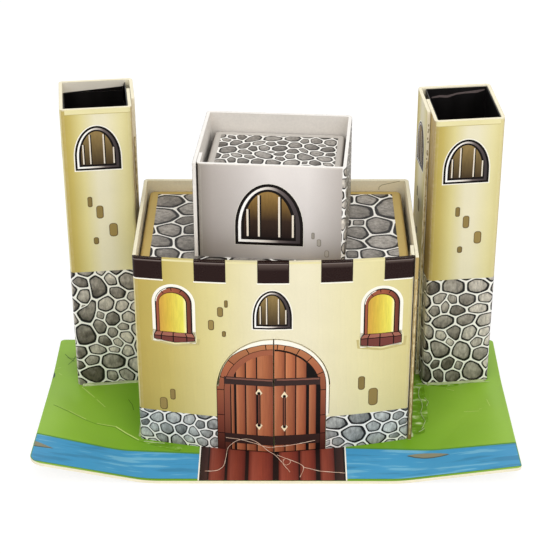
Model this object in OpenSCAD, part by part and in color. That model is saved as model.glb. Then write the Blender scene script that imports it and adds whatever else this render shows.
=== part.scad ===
// Cardboard castle: four folded board sleeves, two folded roofs and two black
// linings, glued to one flat board whose free front corners have curled up.
// Millimetres. X runs along the front, Y to the back, Z up.
// The origin is under the middle of the base board.

/* [Board] */
// Thickness of the printed board that every wall and roof is folded from
board_t = 2; // [1.2:0.1:3]
// Radius on the inside of a fold
fold_inner = 0.8; // [0.3:0.1:3]
// Glue line between two layers of board
glue_gap = 0.3; // [0.15:0.05:0.5]
// Length of the glue tab inside each sleeve's seam, from the fold
seam_tab = 12; // [6:1:30]
// Thickness of the black lining paper
lining_t = 0.6; // [0.3:0.1:1]
// Play between a lining and the board round it
lining_play = 0.15; // [0.1:0.05:0.4]

/* [Base] */
// Width of the base board
base_w = 298; // [292:1:340]
// Depth of the base board
base_d = 163; // [159:1:200]
// Thickness of the base board
base_t = 2; // [1.5:0.1:4]
// Radius of the rounded front left corner
base_left_r = 8; // [2:0.5:20]
// Radius of the three other corners
base_corner_r = 3; // [1:0.5:10]
// Where each curl starts on the front edge, measured from the corner
curl_start = 79; // [50:1:94]
// Radius of the bend where a corner starts to curl
curl_bend_r = 60; // [20:5:150]
// Angle by which the front left corner has curled up
left_curl_angle = 13.5; // [4:0.5:20]
// Angle by which the front right corner has curled up
right_curl_angle = 9.5; // [3:0.5:20]
// Board that stays flat outside each tower's foot
curl_margin = 3; // [1:0.5:8]

/* [Hall] */
// Width of the hall
hall_w = 170; // [150:1:180]
// Depth of the hall
hall_d = 104; // [98:1:108]
// Height of the hall's walls
hall_h = 131; // [110:1:160]
// Flat base board in front of the hall's corners
hall_setback = 44; // [35:1:48]
// How far the front wall has bowed out at its top
top_bow = 6.3; // [1:0.1:12]
// How far the front wall has bowed out at its foot
foot_bow = 14.8; // [4:0.1:20]
// Share of the foot's bow that is a crease at the gate's slit
foot_crease = 0.55; // [0:0.05:0.9]
// Depth of the roof below the hall's rim
hall_recess = 7; // [4:0.5:20]
// Free gap along the roof's left edge
hall_roof_gap = 1.2; // [0.5:0.1:3]
// Free gap along the front edge of a roof
roof_front_gap = 0.6; // [0.3:0.1:3]
// Height of the flanges folded down round each roof
roof_flange = 10; // [6:0.5:16]

/* [Gate] */
// Width of the gate that is slit into the front wall
gate_w = 69; // [40:1:90]
// Height of the gate
gate_h = 80; // [65:1:100]
// Width of the slits round the gate's leaves
gate_slit = 0.7; // [0.4:0.1:1.5]

/* [Keep] */
// Width of the keep
keep_w = 90; // [60:1:110]
// Depth of the keep
keep_d = 75; // [50:1:82]
// Height of the keep's walls
keep_h = 62; // [45:1:90]
// Distance of the keep's front from the hall's front corners
keep_setback = 10; // [9:0.5:13]
// Turn of the keep on the hall's roof
keep_turn = -4.5; // [-5:0.5:5]
// Depth of the keep's roof below its rim
keep_recess = 12; // [6:0.5:25]
// Free gap along the right edge of the keep's roof
keep_roof_gap = 1.5; // [0.5:0.1:3]

/* [Towers] */
// Width of a tower
tower_w = 46; // [36:1:48]
// Depth of a tower
tower_d = 45; // [36:1:46]
// Turn of the towers
tower_turn = 7; // [1:0.5:10]
// Distance from a tower's front to the outer lap of its seam, on the hall's side
lap_back = 13; // [5:1:22]
// Length of the inner tab under a tower's lap, from the fold
lap_tab = 26; // [18:1:29]
// Height of the left tower's front rim
left_front_h = 198; // [150:1:230]
// Height of the left tower's back rim
left_back_h = 198; // [150:1:230]
// Height of the right tower's front rim
right_front_h = 190; // [150:1:230]
// Height of the right tower's back rim
right_back_h = 194; // [150:1:230]
// Gap between the left tower's lap and the hall
left_tower_gap = 1.8; // [0.5:0.1:6]
// Gap between the right tower's inner rear corner and the hall
right_tower_gap = 4; // [0.5:0.5:6]
// How far the left tower's inner rear corner stands behind the hall
left_tower_back = 8; // [0:0.5:8]
// How far the right tower's inner rear corner stands behind the hall
right_tower_back = 3; // [0:0.5:3]
// Depth of the left lining's edge below the rim
left_lining_drop = 7; // [3:0.5:20]
// Depth below the rim of the left lining's wall on the hall's side
left_side_drop = 1.5; // [0.5:0.1:2.5]
// Depth of the right lining's edge below the rim
right_lining_drop = 0.6; // [0.3:0.1:20]

/* [Glue] */
// Leg of the glue beads along the feet
bead = 1.8; // [1:0.1:3]
// Length of the glue bead along each side wall of the hall, from its front
hall_bead = 45; // [20:1:58]

/* [Hidden] */
$fn = 96;

// Spare length by which a cutting shape passes the solid that it cuts
over = 5;
// Length that is longer than any piece of the castle
long = 400;
// Flat columns that follow the bow of the front wall, an even number
bow_columns = 24;
// Small creases that make up the bend of a curled corner
bend_creases = 8;

// Outer radius of a fold
fold_r = fold_inner + board_t;
// Least radius on the inside of a lining's folds
lining_fold_inner = 0.2;
// Outer radius of a lining's folds, which clear the folds of the board round it
lining_fold_r = max(lining_t + lining_fold_inner, fold_inner);
// Step from the outer layer of a seam to the tab inside it
layer = board_t + glue_gap;
// Corner of a lining, from the corner of its tower
lining_x = layer + board_t + lining_play;
lining_y = board_t + lining_play;
hall_front = -base_d / 2 + hall_setback;
hall_back = hall_front + hall_d;
hall_roof_z = base_t + hall_h - hall_recess;
hall_roof_w = hall_w - 2 * board_t - hall_roof_gap - layer - glue_gap;
hall_roof_x = -hall_w / 2 + board_t + hall_roof_gap;
hall_roof_d = hall_d - 2 * board_t - roof_front_gap;
front_left = -hall_w / 2 + fold_r;
front_right = hall_w / 2 - layer - fold_r;
gate_x = (front_left + front_right) / 2;
gate_r = gate_w / 2;
keep_roof_w = keep_w - board_t - layer - board_t - glue_gap - keep_roof_gap;
keep_roof_d = keep_d - 2 * board_t - roof_front_gap;

// A point turned by an angle about the origin
function turned(p, a) = [p[0] * cos(a) - p[1] * sin(a), p[0] * sin(a) + p[1] * cos(a)];

// Rear corner of each tower on its hall side, and the front corner of its outer side
left_inner_rear = [-hall_w / 2 - left_tower_gap - (tower_d - lap_back) * sin(tower_turn),
    hall_back + left_tower_back];
right_inner_rear = [hall_w / 2 + right_tower_gap, hall_back + right_tower_back];
left_outer_front = left_inner_rear + turned([-tower_w, -tower_d], tower_turn);
right_outer_front = right_inner_rear + turned([tower_w, -tower_d], tower_turn);

// Outward bow of the front wall at its foot and at its top, u from -1 to 1
function foot_out(u) = foot_bow * (foot_crease * (1 - abs(u)) + (1 - foot_crease) * (1 - u * u));
function top_out(u) = top_bow * (1 - u * u);

// Quarter ring of a fold, from the X axis to the Y axis
module fold_plan(r = fold_r, t = board_t) {
    intersection() {
        difference() {
            circle(r);
            circle(r - t);
        }
        square(r);
    }
}

// Plan of a folded strip without its front panel: it starts at the tab inside
// the left seam and ends at the outer left layer. The corner of its box is at 0,0.
module strip_plan(w, d, lap, tab) {
    translate([w - board_t, fold_r]) square([board_t, d - 2 * fold_r]);
    translate([fold_r, d - board_t]) square([w - 2 * fold_r, board_t]);
    translate([0, lap]) square([board_t, d - fold_r - lap]);
    translate([layer, fold_r]) square([board_t, tab]);
    translate([layer + fold_r, fold_r]) rotate(180) fold_plan();
    translate([w - fold_r, fold_r]) rotate(270) fold_plan();
    translate([w - fold_r, d - fold_r]) fold_plan();
    translate([fold_r, d - fold_r]) rotate(90) fold_plan();
}

// Plan of a whole sleeve with a flat front
module sleeve_plan(w, d, lap, tab) {
    strip_plan(w, d, lap, tab);
    translate([layer + fold_r, 0]) square([w - layer - 2 * fold_r, board_t]);
}

// Keeps of its children what lies below a rim that rises from front to back
module below_rim(w, d, front_h, back_h) {
    rise = (back_h - front_h) / d;
    intersection() {
        children();
        translate([-over, 0, 0]) rotate([90, 0, 90]) linear_extrude(w + 2 * over)
            polygon([[-over, 0], [d + over, 0], [d + over, back_h + over * rise],
                [-over, front_h - over * rise]]);
    }
}

// Edge of a roof: a fold and the flange below it, centred on its length
module folded_edge(length) {
    translate([0, length / 2, 0]) rotate([90, 0, 0]) linear_extrude(length) {
        fold_plan();
        translate([fold_r - board_t, fold_r - roof_flange]) square([board_t, roof_flange - fold_r]);
    }
}

// Roof with a flange folded down along each edge. Its top is at 0, its corner at 0,0.
module folded_roof(w, d) {
    translate([fold_r, fold_r, -board_t]) cube([w - 2 * fold_r, d - 2 * fold_r, board_t]);
    translate([w - fold_r, d / 2, -fold_r]) folded_edge(d - 2 * fold_r);
    translate([fold_r, d / 2, -fold_r]) rotate(180) folded_edge(d - 2 * fold_r);
    translate([w / 2, d - fold_r, -fold_r]) rotate(90) folded_edge(w - 2 * fold_r);
    translate([w / 2, fold_r, -fold_r]) rotate(270) folded_edge(w - 2 * fold_r);
}

// Corner piece that is taken off to round a corner of the base
module corner_waste(r) {
    difference() {
        translate([-over, -over]) square(r + over);
        translate([r, r]) circle(r);
    }
}

module base_outline() {
    linear_extrude(long) difference() {
        translate([-base_w / 2, -base_d / 2]) square([base_w, base_d]);
        translate([-base_w / 2, -base_d / 2]) corner_waste(base_left_r);
        translate([base_w / 2, -base_d / 2]) rotate(90) corner_waste(base_corner_r);
        translate([base_w / 2, base_d / 2]) rotate(180) corner_waste(base_corner_r);
        translate([-base_w / 2, base_d / 2]) rotate(270) corner_waste(base_corner_r);
    }
}

// Puts its children on the line where the front right corner curls: X points at the
// corner, Y runs along the line from the front edge past the tower's foot.
module on_curl_line(foot) {
    start = [base_w / 2 - curl_start, -base_d / 2];
    run = foot + [curl_margin, 0] - start;
    translate(start) rotate(-atan2(run[0], run[1])) translate([0, -long / 2, 0]) children();
}

// Point of a bend at a radius and an angle from straight down
function bend_point(r, a) = [r * sin(a), curl_bend_r + base_t - r * cos(a)];

// Side view of a sheet that lies flat, bends up from X = 0 in small creases and
// goes on at an angle
module curl_profile(angle) {
    lower = [for (i = [0 : bend_creases]) bend_point(curl_bend_r + base_t, angle * i / bend_creases)];
    upper = [for (i = [bend_creases : -1 : 0]) bend_point(curl_bend_r, angle * i / bend_creases)];
    reach = long * [cos(angle), sin(angle)];
    flap = [lower[bend_creases] + reach, upper[0] + reach];
    polygon(concat([[-long, 0]], lower, flap, upper, [[-long, base_t]]));
}

// Right half of the base board with its front corner curled
module base_half(foot, angle) {
    intersection() {
        on_curl_line(foot) translate([0, long, 0]) rotate([90, 0, 0]) linear_extrude(long)
            curl_profile(angle);
        translate([0, -long / 2, -over]) cube([long, long, long]);
    }
}

module base_board() {
    left_foot = [-left_outer_front[0], left_outer_front[1]];
    color("olivedrab") intersection() {
        base_outline();
        union() {
            base_half(right_outer_front, right_curl_angle);
            mirror([1, 0, 0]) base_half(left_foot, left_curl_angle);
        }
    }
}

// Front wall of the hall, lofted from its bowed foot to its bowed top
module front_wall() {
    us = [for (i = [0 : bow_columns]) 2 * i / bow_columns - 1];
    half = (front_right - front_left) / 2;
    points = [for (u = us) each [
        [gate_x + half * u, -foot_out(u), 0],
        [gate_x + half * u, board_t - foot_out(u), 0],
        [gate_x + half * u, board_t - top_out(u), hall_h],
        [gate_x + half * u, -top_out(u), hall_h]]];
    side = [for (i = [0 : bow_columns - 1]) for (k = [0 : 3]) each [
        [4 * i + k, 4 * i + 4 + (k + 1) % 4, 4 * i + (k + 1) % 4],
        [4 * i + k, 4 * i + 4 + k, 4 * i + 4 + (k + 1) % 4]]];
    last = 4 * bow_columns;
    polyhedron(points, concat([[0, 1, 2, 3], [last + 3, last + 2, last + 1, last]], side));
}

// Slits that free the two leaves of the gate: over the arch and down its middle
module gate_slits() {
    depth = foot_bow + board_t + 2 * over;
    translate([gate_x, board_t + over, gate_h - gate_r]) rotate([90, 0, 0]) rotate_extrude(angle = 180)
        translate([gate_r - gate_slit, 0]) square([gate_slit, depth]);
    translate([gate_x - gate_slit / 2, board_t + over - depth, -over])
        cube([gate_slit, depth, gate_h + over - gate_slit / 2]);
}

module hall_walls() {
    color("wheat") translate([0, hall_front, base_t]) {
        translate([hall_w / 2, 0, 0]) mirror([1, 0, 0]) linear_extrude(hall_h)
            strip_plan(hall_w, hall_d, 0, seam_tab);
        difference() {
            front_wall();
            gate_slits();
        }
    }
}

module hall_roof() {
    color("slategray") translate([hall_roof_x, hall_back - board_t - hall_roof_d, hall_roof_z])
        folded_roof(hall_roof_w, hall_roof_d);
}

// Puts its children at the keep's front left corner on the hall's roof
module at_keep() {
    translate([hall_roof_x + hall_roof_w / 2, hall_front + keep_setback + keep_d / 2, hall_roof_z])
        rotate(keep_turn) translate([-keep_w / 2, -keep_d / 2, 0]) children();
}

module keep_walls() {
    color("lightgray") at_keep() linear_extrude(keep_h) sleeve_plan(keep_w, keep_d, 0, seam_tab);
}

module keep_roof() {
    color("gray") at_keep()
        translate([layer + board_t + glue_gap, keep_d - board_t - keep_roof_d, keep_h - keep_recess])
        folded_roof(keep_roof_w, keep_roof_d);
}

// Puts its children at a tower's front corner beside the hall. The left tower is
// the mirror of the right one.
module at_left_tower() {
    translate([left_inner_rear[0], left_inner_rear[1], base_t]) rotate(tower_turn)
        mirror([1, 0, 0]) translate([0, -tower_d, 0]) children();
}

module at_right_tower() {
    translate([right_inner_rear[0], right_inner_rear[1], base_t]) rotate(tower_turn)
        translate([0, -tower_d, 0]) children();
}

module tower(front_h, back_h) {
    below_rim(tower_w, tower_d, front_h, back_h) linear_extrude(long)
        sleeve_plan(tower_w, tower_d, lap_back, lap_tab);
}

// Quarter of a lining's plan: a fold and half of each wall beside it, from the middle
module lining_quarter(half_w, half_d) {
    translate([half_w - lining_fold_r, half_d - lining_fold_r]) fold_plan(lining_fold_r, lining_t);
    translate([half_w - lining_t, 0]) square([lining_t, half_d - lining_fold_r]);
    translate([0, half_d - lining_t]) square([half_w - lining_fold_r, lining_t]);
}

// Lining sleeve inside a tower, its edge a drop below the rim
module lining(front_h, back_h, drop) {
    half_w = (tower_w - board_t - lining_play - lining_x) / 2;
    half_d = tower_d / 2 - lining_y;
    below_rim(tower_w, tower_d, front_h - drop, back_h - drop) linear_extrude(long)
        translate([lining_x + half_w, tower_d / 2]) for (x = [0, 1], y = [0, 1])
            mirror([x, 0]) mirror([0, y]) lining_quarter(half_w, half_d);
}

// Wall of a lining on the hall's side, between its folds
module lining_side(front_h, back_h, drop) {
    below_rim(tower_w, tower_d, front_h - drop, back_h - drop) linear_extrude(long)
        translate([lining_x, lining_y + lining_fold_r])
        square([lining_t, tower_d - 2 * (lining_y + lining_fold_r)]);
}

module left_tower() {
    color("wheat") at_left_tower() tower(left_front_h, left_back_h);
}

module left_lining() {
    color("black") at_left_tower() {
        lining(left_front_h, left_back_h, left_lining_drop);
        lining_side(left_front_h, left_back_h, left_side_drop);
    }
}

module right_tower() {
    color("wheat") at_right_tower() tower(right_front_h, right_back_h);
}

module right_lining() {
    color("black") at_right_tower() lining(right_front_h, right_back_h, right_lining_drop);
}

// Hollow fillet of glue along X, in the corner between a wall at Y = 0 and the base
module glue_bead(length) {
    rotate([90, 0, 90]) linear_extrude(length) difference() {
        translate([-bead, 0]) square(bead);
        translate([-bead, bead]) circle(bead);
    }
}

module glue_beads() {
    color("ivory") {
        at_right_tower() translate([layer + fold_r, 0, 0]) glue_bead(tower_w - layer - 2 * fold_r);
        at_left_tower() translate([layer + fold_r, 0, 0]) glue_bead(tower_w - layer - 2 * fold_r);
        translate([hall_w / 2, hall_front + fold_r, base_t]) rotate(90) glue_bead(hall_bead);
        translate([-hall_w / 2, hall_front + fold_r + hall_bead, base_t]) rotate(-90) glue_bead(hall_bead);
    }
}

base_board();
hall_walls();
hall_roof();
keep_walls();
keep_roof();
left_tower();
left_lining();
right_tower();
right_lining();
glue_beads();
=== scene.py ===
"""Looks of a folded cardboard castle: the printed paper, the cut board and the hot glue.

Every print is drawn flat, in millimetres along and up its sheet, and then folded onto the board.
"""

import math
from bisect import bisect_right
from collections import defaultdict

import bmesh
import bpy
from mathutils import Matrix, Vector


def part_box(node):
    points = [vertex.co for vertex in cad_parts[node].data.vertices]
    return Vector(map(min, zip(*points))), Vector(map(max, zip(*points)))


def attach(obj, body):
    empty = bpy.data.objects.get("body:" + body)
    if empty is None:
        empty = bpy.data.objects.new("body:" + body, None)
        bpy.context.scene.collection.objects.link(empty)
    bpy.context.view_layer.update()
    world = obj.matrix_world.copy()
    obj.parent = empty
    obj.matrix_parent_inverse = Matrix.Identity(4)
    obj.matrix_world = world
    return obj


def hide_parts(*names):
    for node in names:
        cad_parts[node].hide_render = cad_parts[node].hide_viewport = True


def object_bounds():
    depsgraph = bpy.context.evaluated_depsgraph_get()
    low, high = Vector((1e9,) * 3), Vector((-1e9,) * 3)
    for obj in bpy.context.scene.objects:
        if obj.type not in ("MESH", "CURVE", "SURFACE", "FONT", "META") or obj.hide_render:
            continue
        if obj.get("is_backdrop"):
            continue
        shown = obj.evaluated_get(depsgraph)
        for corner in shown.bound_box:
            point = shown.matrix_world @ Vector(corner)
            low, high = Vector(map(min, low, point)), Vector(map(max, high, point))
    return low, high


bl_info = {
    "name": "Cardboard Castle",
    "version": (1, 0, 0),
    "blender": (4, 5, 0),
    "location": "View3D > Sidebar > Castle",
    "description": "Prints, board edges and glue of a folded cardboard castle",
    "category": "Object",
}

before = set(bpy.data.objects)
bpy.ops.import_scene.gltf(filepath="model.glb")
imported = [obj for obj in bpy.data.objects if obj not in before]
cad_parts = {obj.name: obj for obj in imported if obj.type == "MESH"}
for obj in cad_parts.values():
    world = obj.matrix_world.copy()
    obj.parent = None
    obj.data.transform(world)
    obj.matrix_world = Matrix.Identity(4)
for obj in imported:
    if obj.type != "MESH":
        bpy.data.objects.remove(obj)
CAD_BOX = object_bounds()
MM = 0.001


def box_mm(node):
    """Lowest and highest corner of a CAD node in millimetres."""
    low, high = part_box(node)
    return low / MM, high / MM


# The folded board, in millimetres, as the part's source has it
BOARD = 2.0
FOLD_R = 2.8
LAYER = 2.3
LAP_BACK = 13.0
TOWER_W = 46.0
TOWER_D = 45.0
TOWER_TURN = math.radians(7)
KEEP_W = 90.0
KEEP_D = 75.0
KEEP_TURN = math.radians(-4.5)
KEEP_SETBACK = 10.0
TOP_BOW = 6.3
FOOT_BOW = 14.8
FOOT_CREASE = 0.55
BOW_COLUMNS = 24
GATE_R = 34.5
GATE_H = 80.0
GATE_SLIT = 0.7
CURL_START = 79.0
CURL_MARGIN = 3.0
CURL_BEND_R = 60.0
CURL_CREASES = 8
LEFT_CURL = math.radians(13.5)
RIGHT_CURL = math.radians(9.5)
LEFT_RIMS = (198.0, 198.0)
RIGHT_RIMS = (190.0, 194.0)
LEFT_TOWER_GAP, LEFT_TOWER_BACK = 1.8, 8.0
RIGHT_TOWER_GAP, RIGHT_TOWER_BACK = 4.0, 3.0

BASE_LOW, BASE_HIGH = box_mm("base_board")
BASE_T = 2.0
HALL_LOW, HALL_HIGH = box_mm("hall_walls")
HALL_W = HALL_HIGH.x - HALL_LOW.x
HALL_D = 104.0
HALL_H = HALL_HIGH.z - BASE_T
HALL_FRONT = HALL_HIGH.y - HALL_D
FRONT_LEFT = HALL_LOW.x + FOLD_R
FRONT_RIGHT = HALL_HIGH.x - LAYER - FOLD_R
GATE_X = (FRONT_LEFT + FRONT_RIGHT) / 2
FRONT_HALF = (FRONT_RIGHT - FRONT_LEFT) / 2
ROOF_LOW, ROOF_HIGH = box_mm("hall_roof")
KEEP_H = box_mm("keep_walls")[1].z - ROOF_HIGH.z
KEEP_ROOF_Z = box_mm("keep_roof")[1].z
LEFT_LEAN = (TOWER_D - LAP_BACK) * math.sin(TOWER_TURN)
LEFT_REAR = Vector((HALL_LOW.x - LEFT_TOWER_GAP - LEFT_LEAN, HALL_HIGH.y + LEFT_TOWER_BACK))
RIGHT_REAR = Vector((HALL_HIGH.x + RIGHT_TOWER_GAP, HALL_HIGH.y + RIGHT_TOWER_BACK))

# Layers of the print, in millimetres above the board
PAPER = 0.05
INK = 0.05
# Side of the printed stones on which the light falls
LIT_SIDE = Vector((-0.6, 0.8, 0))

# Width of the worn strip along a rim, and how worn the rims, the folds and the edges of a fold are
RIM_STRIP = 1.2
RIM_WEAR, FOLD_WEAR, CORNER_WEAR = 0.8, 0.2, 0.5
# Layer of the stones, how much of a stone lies inside its rim, and the rows to spare round an area
STONE_LAYER = 2
STONE_RIM = 0.62
SPARE_STONES = 7
# Hidden walls that are narrower than this have no window and no marks
NARROWEST_WALL = 30
# Steps round the cut of the gate
CUT_STEPS = 60

# Ends of a linear mask, and the way that grain runs, by how much it is scaled along each axis
BLACK, WHITE = (0, 0, 0), (1, 1, 1)
WOOD_GRAIN, PLANK_GRAIN = (1, 1, 0.04), (1, 0.04, 1)
GLASS_GRAIN, LIT_GRAIN = (1, 1, 0.2), (1, 1, 0.1)

# Inks in sRGB from 0 to 255, or named for one of the inks that a user can change
CRENEL = (36, 18, 15)
FLAT_INKS = {
    "white grout": "grout",
    "seam shade": (46, 38, 30),
    "brick line": (98, 78, 40),
    "grey mark line": (138, 131, 122),
    "pale halo": (250, 245, 230),
    "soft shadow": (196, 181, 120),
    "light rim": (231, 221, 168),
    "window bar": (232, 220, 202),
    "tower inside": (234, 226, 210),
    # Painted shade in creases and in the hollow flutes of the board, and a painted highlight beside a crease
    "board groove shade": (160, 144, 104),
    "board shine": (244, 236, 206),
    "grass strand": (58, 92, 26),
    "grass shade": (96, 138, 34),
    "handle end": (244, 226, 190),
    "shore": (84, 140, 52),
    "moat shade": (74, 88, 84),
    "bridge gap and slit shade": (26, 14, 13),
}
# Colour, and how much it varies from patch to patch
VARIED_INKS = {
    "brick mark": ("brick", 0.3),
    "grey mark": ((168, 161, 150), 0.2),
    "sill top": ((160, 98, 80), 0.25),
    "sill front": ((112, 54, 46), 0.25),
    "handle bar": ((112, 62, 46), 0.05),
    "gate beam": ((48, 27, 23), 0.05),
    "beam shine": ((128, 82, 68), 0.05),
    "moat stone": ((136, 134, 112), 0.1),
}
# Colour, roughness and specular level
GLOSSY_INKS = {
    "outline ink": ("outline", 0.35, 0.06),
    "dark crenel": (CRENEL, 0.28, 0.12),
    # Painted highlight: the glare along the crease near the top of the glossy dark crenels
    "crenel crease highlight": ((122, 110, 104), 0.25, 0.25),
    "lining edge": ((13, 9, 9), 0.35, 0.25),
    "lining shine": ((112, 100, 98), 0.3, 0.25),
    "grass scratch": ((190, 214, 118), 0.25, 0.25),
}
# Field of the drawing that the ink runs along, its stops, its grain and its finish
RAMP_INKS = {
    # Brownish paper of the seam tabs, darker towards the foot; on the hall's raw end the same ink is painted
    # shade over the board's brown cut edge
    "seam tab and raw end shade": (
        "up", ((0, (132, 108, 56)), (0.5, (162, 136, 78)), (1, (184, 158, 100))), None, {"mottle": 0.3}),
    "crenel shine": ("up", ((0, CRENEL), (1, (88, 74, 68))), None, {"roughness": 0.28, "specular": 0.12}),
    "window ring": (
        "across",
        ((0.05, (252, 250, 246)), (0.36, (238, 231, 223)), (0.5, (204, 194, 186)), (0.66, (106, 95, 93)),
         (0.82, (74, 64, 65)), (1, (54, 46, 47))),
        None, {}),
    "keep glass": (
        "up", ((0, (34, 23, 21)), (0.36, (54, 38, 28)), (0.75, (122, 94, 50)), (1, (150, 118, 66))),
        GLASS_GRAIN, {"specular": 0.1}),
    "small glass": (
        "up", ((0, (68, 54, 36)), (0.4, (104, 86, 54)), (1, (146, 122, 76))),
        GLASS_GRAIN, {"specular": 0.1}),
    "lit glass": (
        "across",
        ((0, (206, 156, 62)), (0.35, (216, 184, 66)), (0.88, "glass_yellow"), (1, (250, 240, 178))),
        LIT_GRAIN, {}),
    "window frame": (
        "across", ((0, (150, 78, 54)), (0.5, (158, 86, 58)), (0.85, "frame_brown"), (1, (96, 44, 34))),
        None, {}),
    "ring brick": (
        "up", ((0.1, (66, 28, 22)), (0.4, (118, 56, 38)), (0.8, (164, 94, 62)), (1, (184, 122, 78))),
        None, {}),
    "gate reveal": ("up", ((0.1, (74, 34, 26)), (0.4, (122, 64, 46)), (0.9, (158, 90, 62))), None, {}),
    "gate plank": (
        "across", ((0, (182, 118, 82)), (0.3, (168, 98, 64)), (0.75, "plank"), (1, (122, 60, 40))),
        WOOD_GRAIN, {}),
    "lunette plank": (
        "across", ((0, (188, 118, 78)), (0.5, (174, 102, 64)), (1, (140, 74, 46))), WOOD_GRAIN, {}),
    "bridge plank": (
        "across",
        ((0, (92, 36, 28)), (0.18, (140, 68, 52)), (0.5, (134, 60, 44)), (0.85, (112, 46, 36)),
         (1, (84, 34, 28))),
        PLANK_GRAIN, {}),
    "bridge rail": ("across", ((0, (40, 22, 20)), (1, (62, 36, 32))), PLANK_GRAIN, {}),
}
# Stops from the left edge of a wall to its right, and how much darker its foot is
WALL_INKS = {
    "cream wall": (
        ((0, "ochre"), (0.12, (196, 177, 98)), (0.28, (219, 207, 144)), (0.48, "cream"), (0.62, "cream"),
         (0.85, (226, 216, 162)), (1, (213, 200, 136))),
        0.03),
    "grey wall": (
        ((0, "grey_shade"), (0.1, (178, 169, 162)), (0.5, "grey"), (0.75, "grey"), (1, (182, 173, 166))),
        0.36),
}
# Darkest and lightest stones, and how much lighter they are towards the right of a wall
STONE_INKS = {
    "tower stones": ("stone_dark", "stone_light", 0.6),
    "hall stones": ((104, 105, 102), (198, 199, 194), 0.1),
    "roof stones": ((82, 77, 71), (166, 160, 152), 0.0),
}
# Scale of the clouds in threads of glue, the least roughness and the stops
GLUE_THREADS = {
    "glue thread": (300, 0.15, ((0.3, (214, 168, 140)), (0.7, (240, 222, 200)))),
    "seam glue": (260, 0.2, ((0.35, (172, 150, 96)), (0.65, (226, 210, 166)))),
}
# Inside and cut edge of the bare boards, and the nodes of the frame that are made of each; the roof cards'
# dark inside colours are painted shade on their sides that fold down
BOARDS = {
    "base card": ("board_edge", "board_edge", ("base_board",)),
    "wall card": ("board", "board_edge", ("hall_walls", "left_tower", "right_tower")),
    "roof card": ((150, 126, 70), "roof_edge", ("hall_roof",)),
    "keep card": ((228, 222, 214), (240, 236, 230), ("keep_walls",)),
    "keep roof card": ((96, 90, 84), (196, 190, 182), ("keep_roof",)),
}


def srgb(red, green, blue):
    """Linear colour of an sRGB colour given from 0 to 255."""
    shares = (red / 255, green / 255, blue / 255)
    return tuple(((c + 0.055) / 1.055) ** 2.4 if c > 10 / 255 else c / 12.92 for c in shares)


def rgba(colour):
    return (*colour, 1.0)


def length(name, description, millimetres):
    return bpy.props.FloatProperty(
        name=name, description=description, default=millimetres * MM, unit="LENGTH"
    )


def factor(name, description, default):
    return bpy.props.FloatProperty(
        name=name, description=description, default=default, min=0, max=1, subtype="FACTOR"
    )


def ink(name, description, red, green, blue):
    return bpy.props.FloatVectorProperty(
        name=name, description=description, default=srgb(red, green, blue), min=0, max=1, subtype="COLOR"
    )


class CastleInks(bpy.types.PropertyGroup):
    """Colours of the printed paper and the board."""

    cream: ink("Cream", "Pale middle of a printed wall", 232, 224, 192)
    ochre: ink("Ochre", "Shaded edge of a printed wall", 180, 157, 76)
    grey: ink("Grey", "Pale middle of the keep's wall", 226, 219, 214)
    grey_shade: ink("Grey Shade", "Shaded edge of the keep's wall", 148, 139, 129)
    grout: ink("Grout", "Lines between the stones", 246, 243, 236)
    stone_dark: ink("Dark Stone", "Darkest stones", 86, 79, 71)
    stone_light: ink("Light Stone", "Lightest stones", 202, 194, 182)
    outline: ink("Outline", "Drawn lines", 24, 19, 18)
    glass_yellow: ink("Yellow Glass", "Bright side of a lit window", 232, 224, 92)
    frame_brown: ink("Window Frame", "Frames of the lit windows", 128, 62, 40)
    plank: ink("Plank", "Planks of the gate", 152, 84, 54)
    grass: ink("Grass", "Grass beside the hall", 112, 160, 32)
    grass_pale: ink("Pale Grass", "Grass at the outer edges", 146, 188, 62)
    water: ink("Water", "Water of the moat", 66, 150, 196)
    brick: ink("Brick", "Loose bricks on the walls", 144, 122, 68)
    board: ink("Board", "Inside of the board", 244, 235, 208)
    board_edge: ink("Board Edge", "Cut edges of the board", 236, 228, 200)
    roof_edge: ink("Roof Edge", "Folded edges of the hall's roof", 190, 164, 96)
    lining: ink("Lining", "Black lining paper", 14, 11, 11)
    glue: ink("Glue", "Hot glue", 204, 218, 158)


class CastleSizes(bpy.types.PropertyGroup):
    """Sizes of the printed motifs."""

    tower_stone: length("Tower Stone", "Mean size of a stone on the towers", 9.0)
    hall_stone: length("Hall Stone", "Mean size of a stone on the hall's walls", 8.8)
    roof_stone: length("Roof Stone", "Mean size of a stone on the hall's roof", 16.0)
    keep_stone: length("Keep Stone", "Mean size of a stone on the keep", 7.4)
    grout: length("Grout", "Width of the grout between the stones", 1.0)
    crenel_height: length("Crenel Height", "Height of the dark crenels", 13.8)
    hall_band: length("Hall Band", "Height of the stones at the hall's foot", 23.6)
    left_band: length("Left Band", "Height of the stones on the left tower", 85.4)
    right_band: length("Right Band", "Height of the stones on the right tower", 79.0)
    jitter: factor("Jitter", "How irregular the stones are", 0.46)
    merge: factor("Merge", "How near stones have to be to run into one, in stones", 0.66)
    corner: factor("Corner", "How sharp the stones' corners are", 0.24)


def inks():
    return bpy.context.scene.castle_inks


def mixed(colour):
    """Linear colour of an ink that is given in sRGB or named."""
    return tuple(getattr(inks(), colour)) if isinstance(colour, str) else srgb(*colour)


def mixed_stops(stops):
    return [(position, mixed(colour)) for position, colour in stops]


def sizes():
    return bpy.context.scene.castle_sizes


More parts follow.
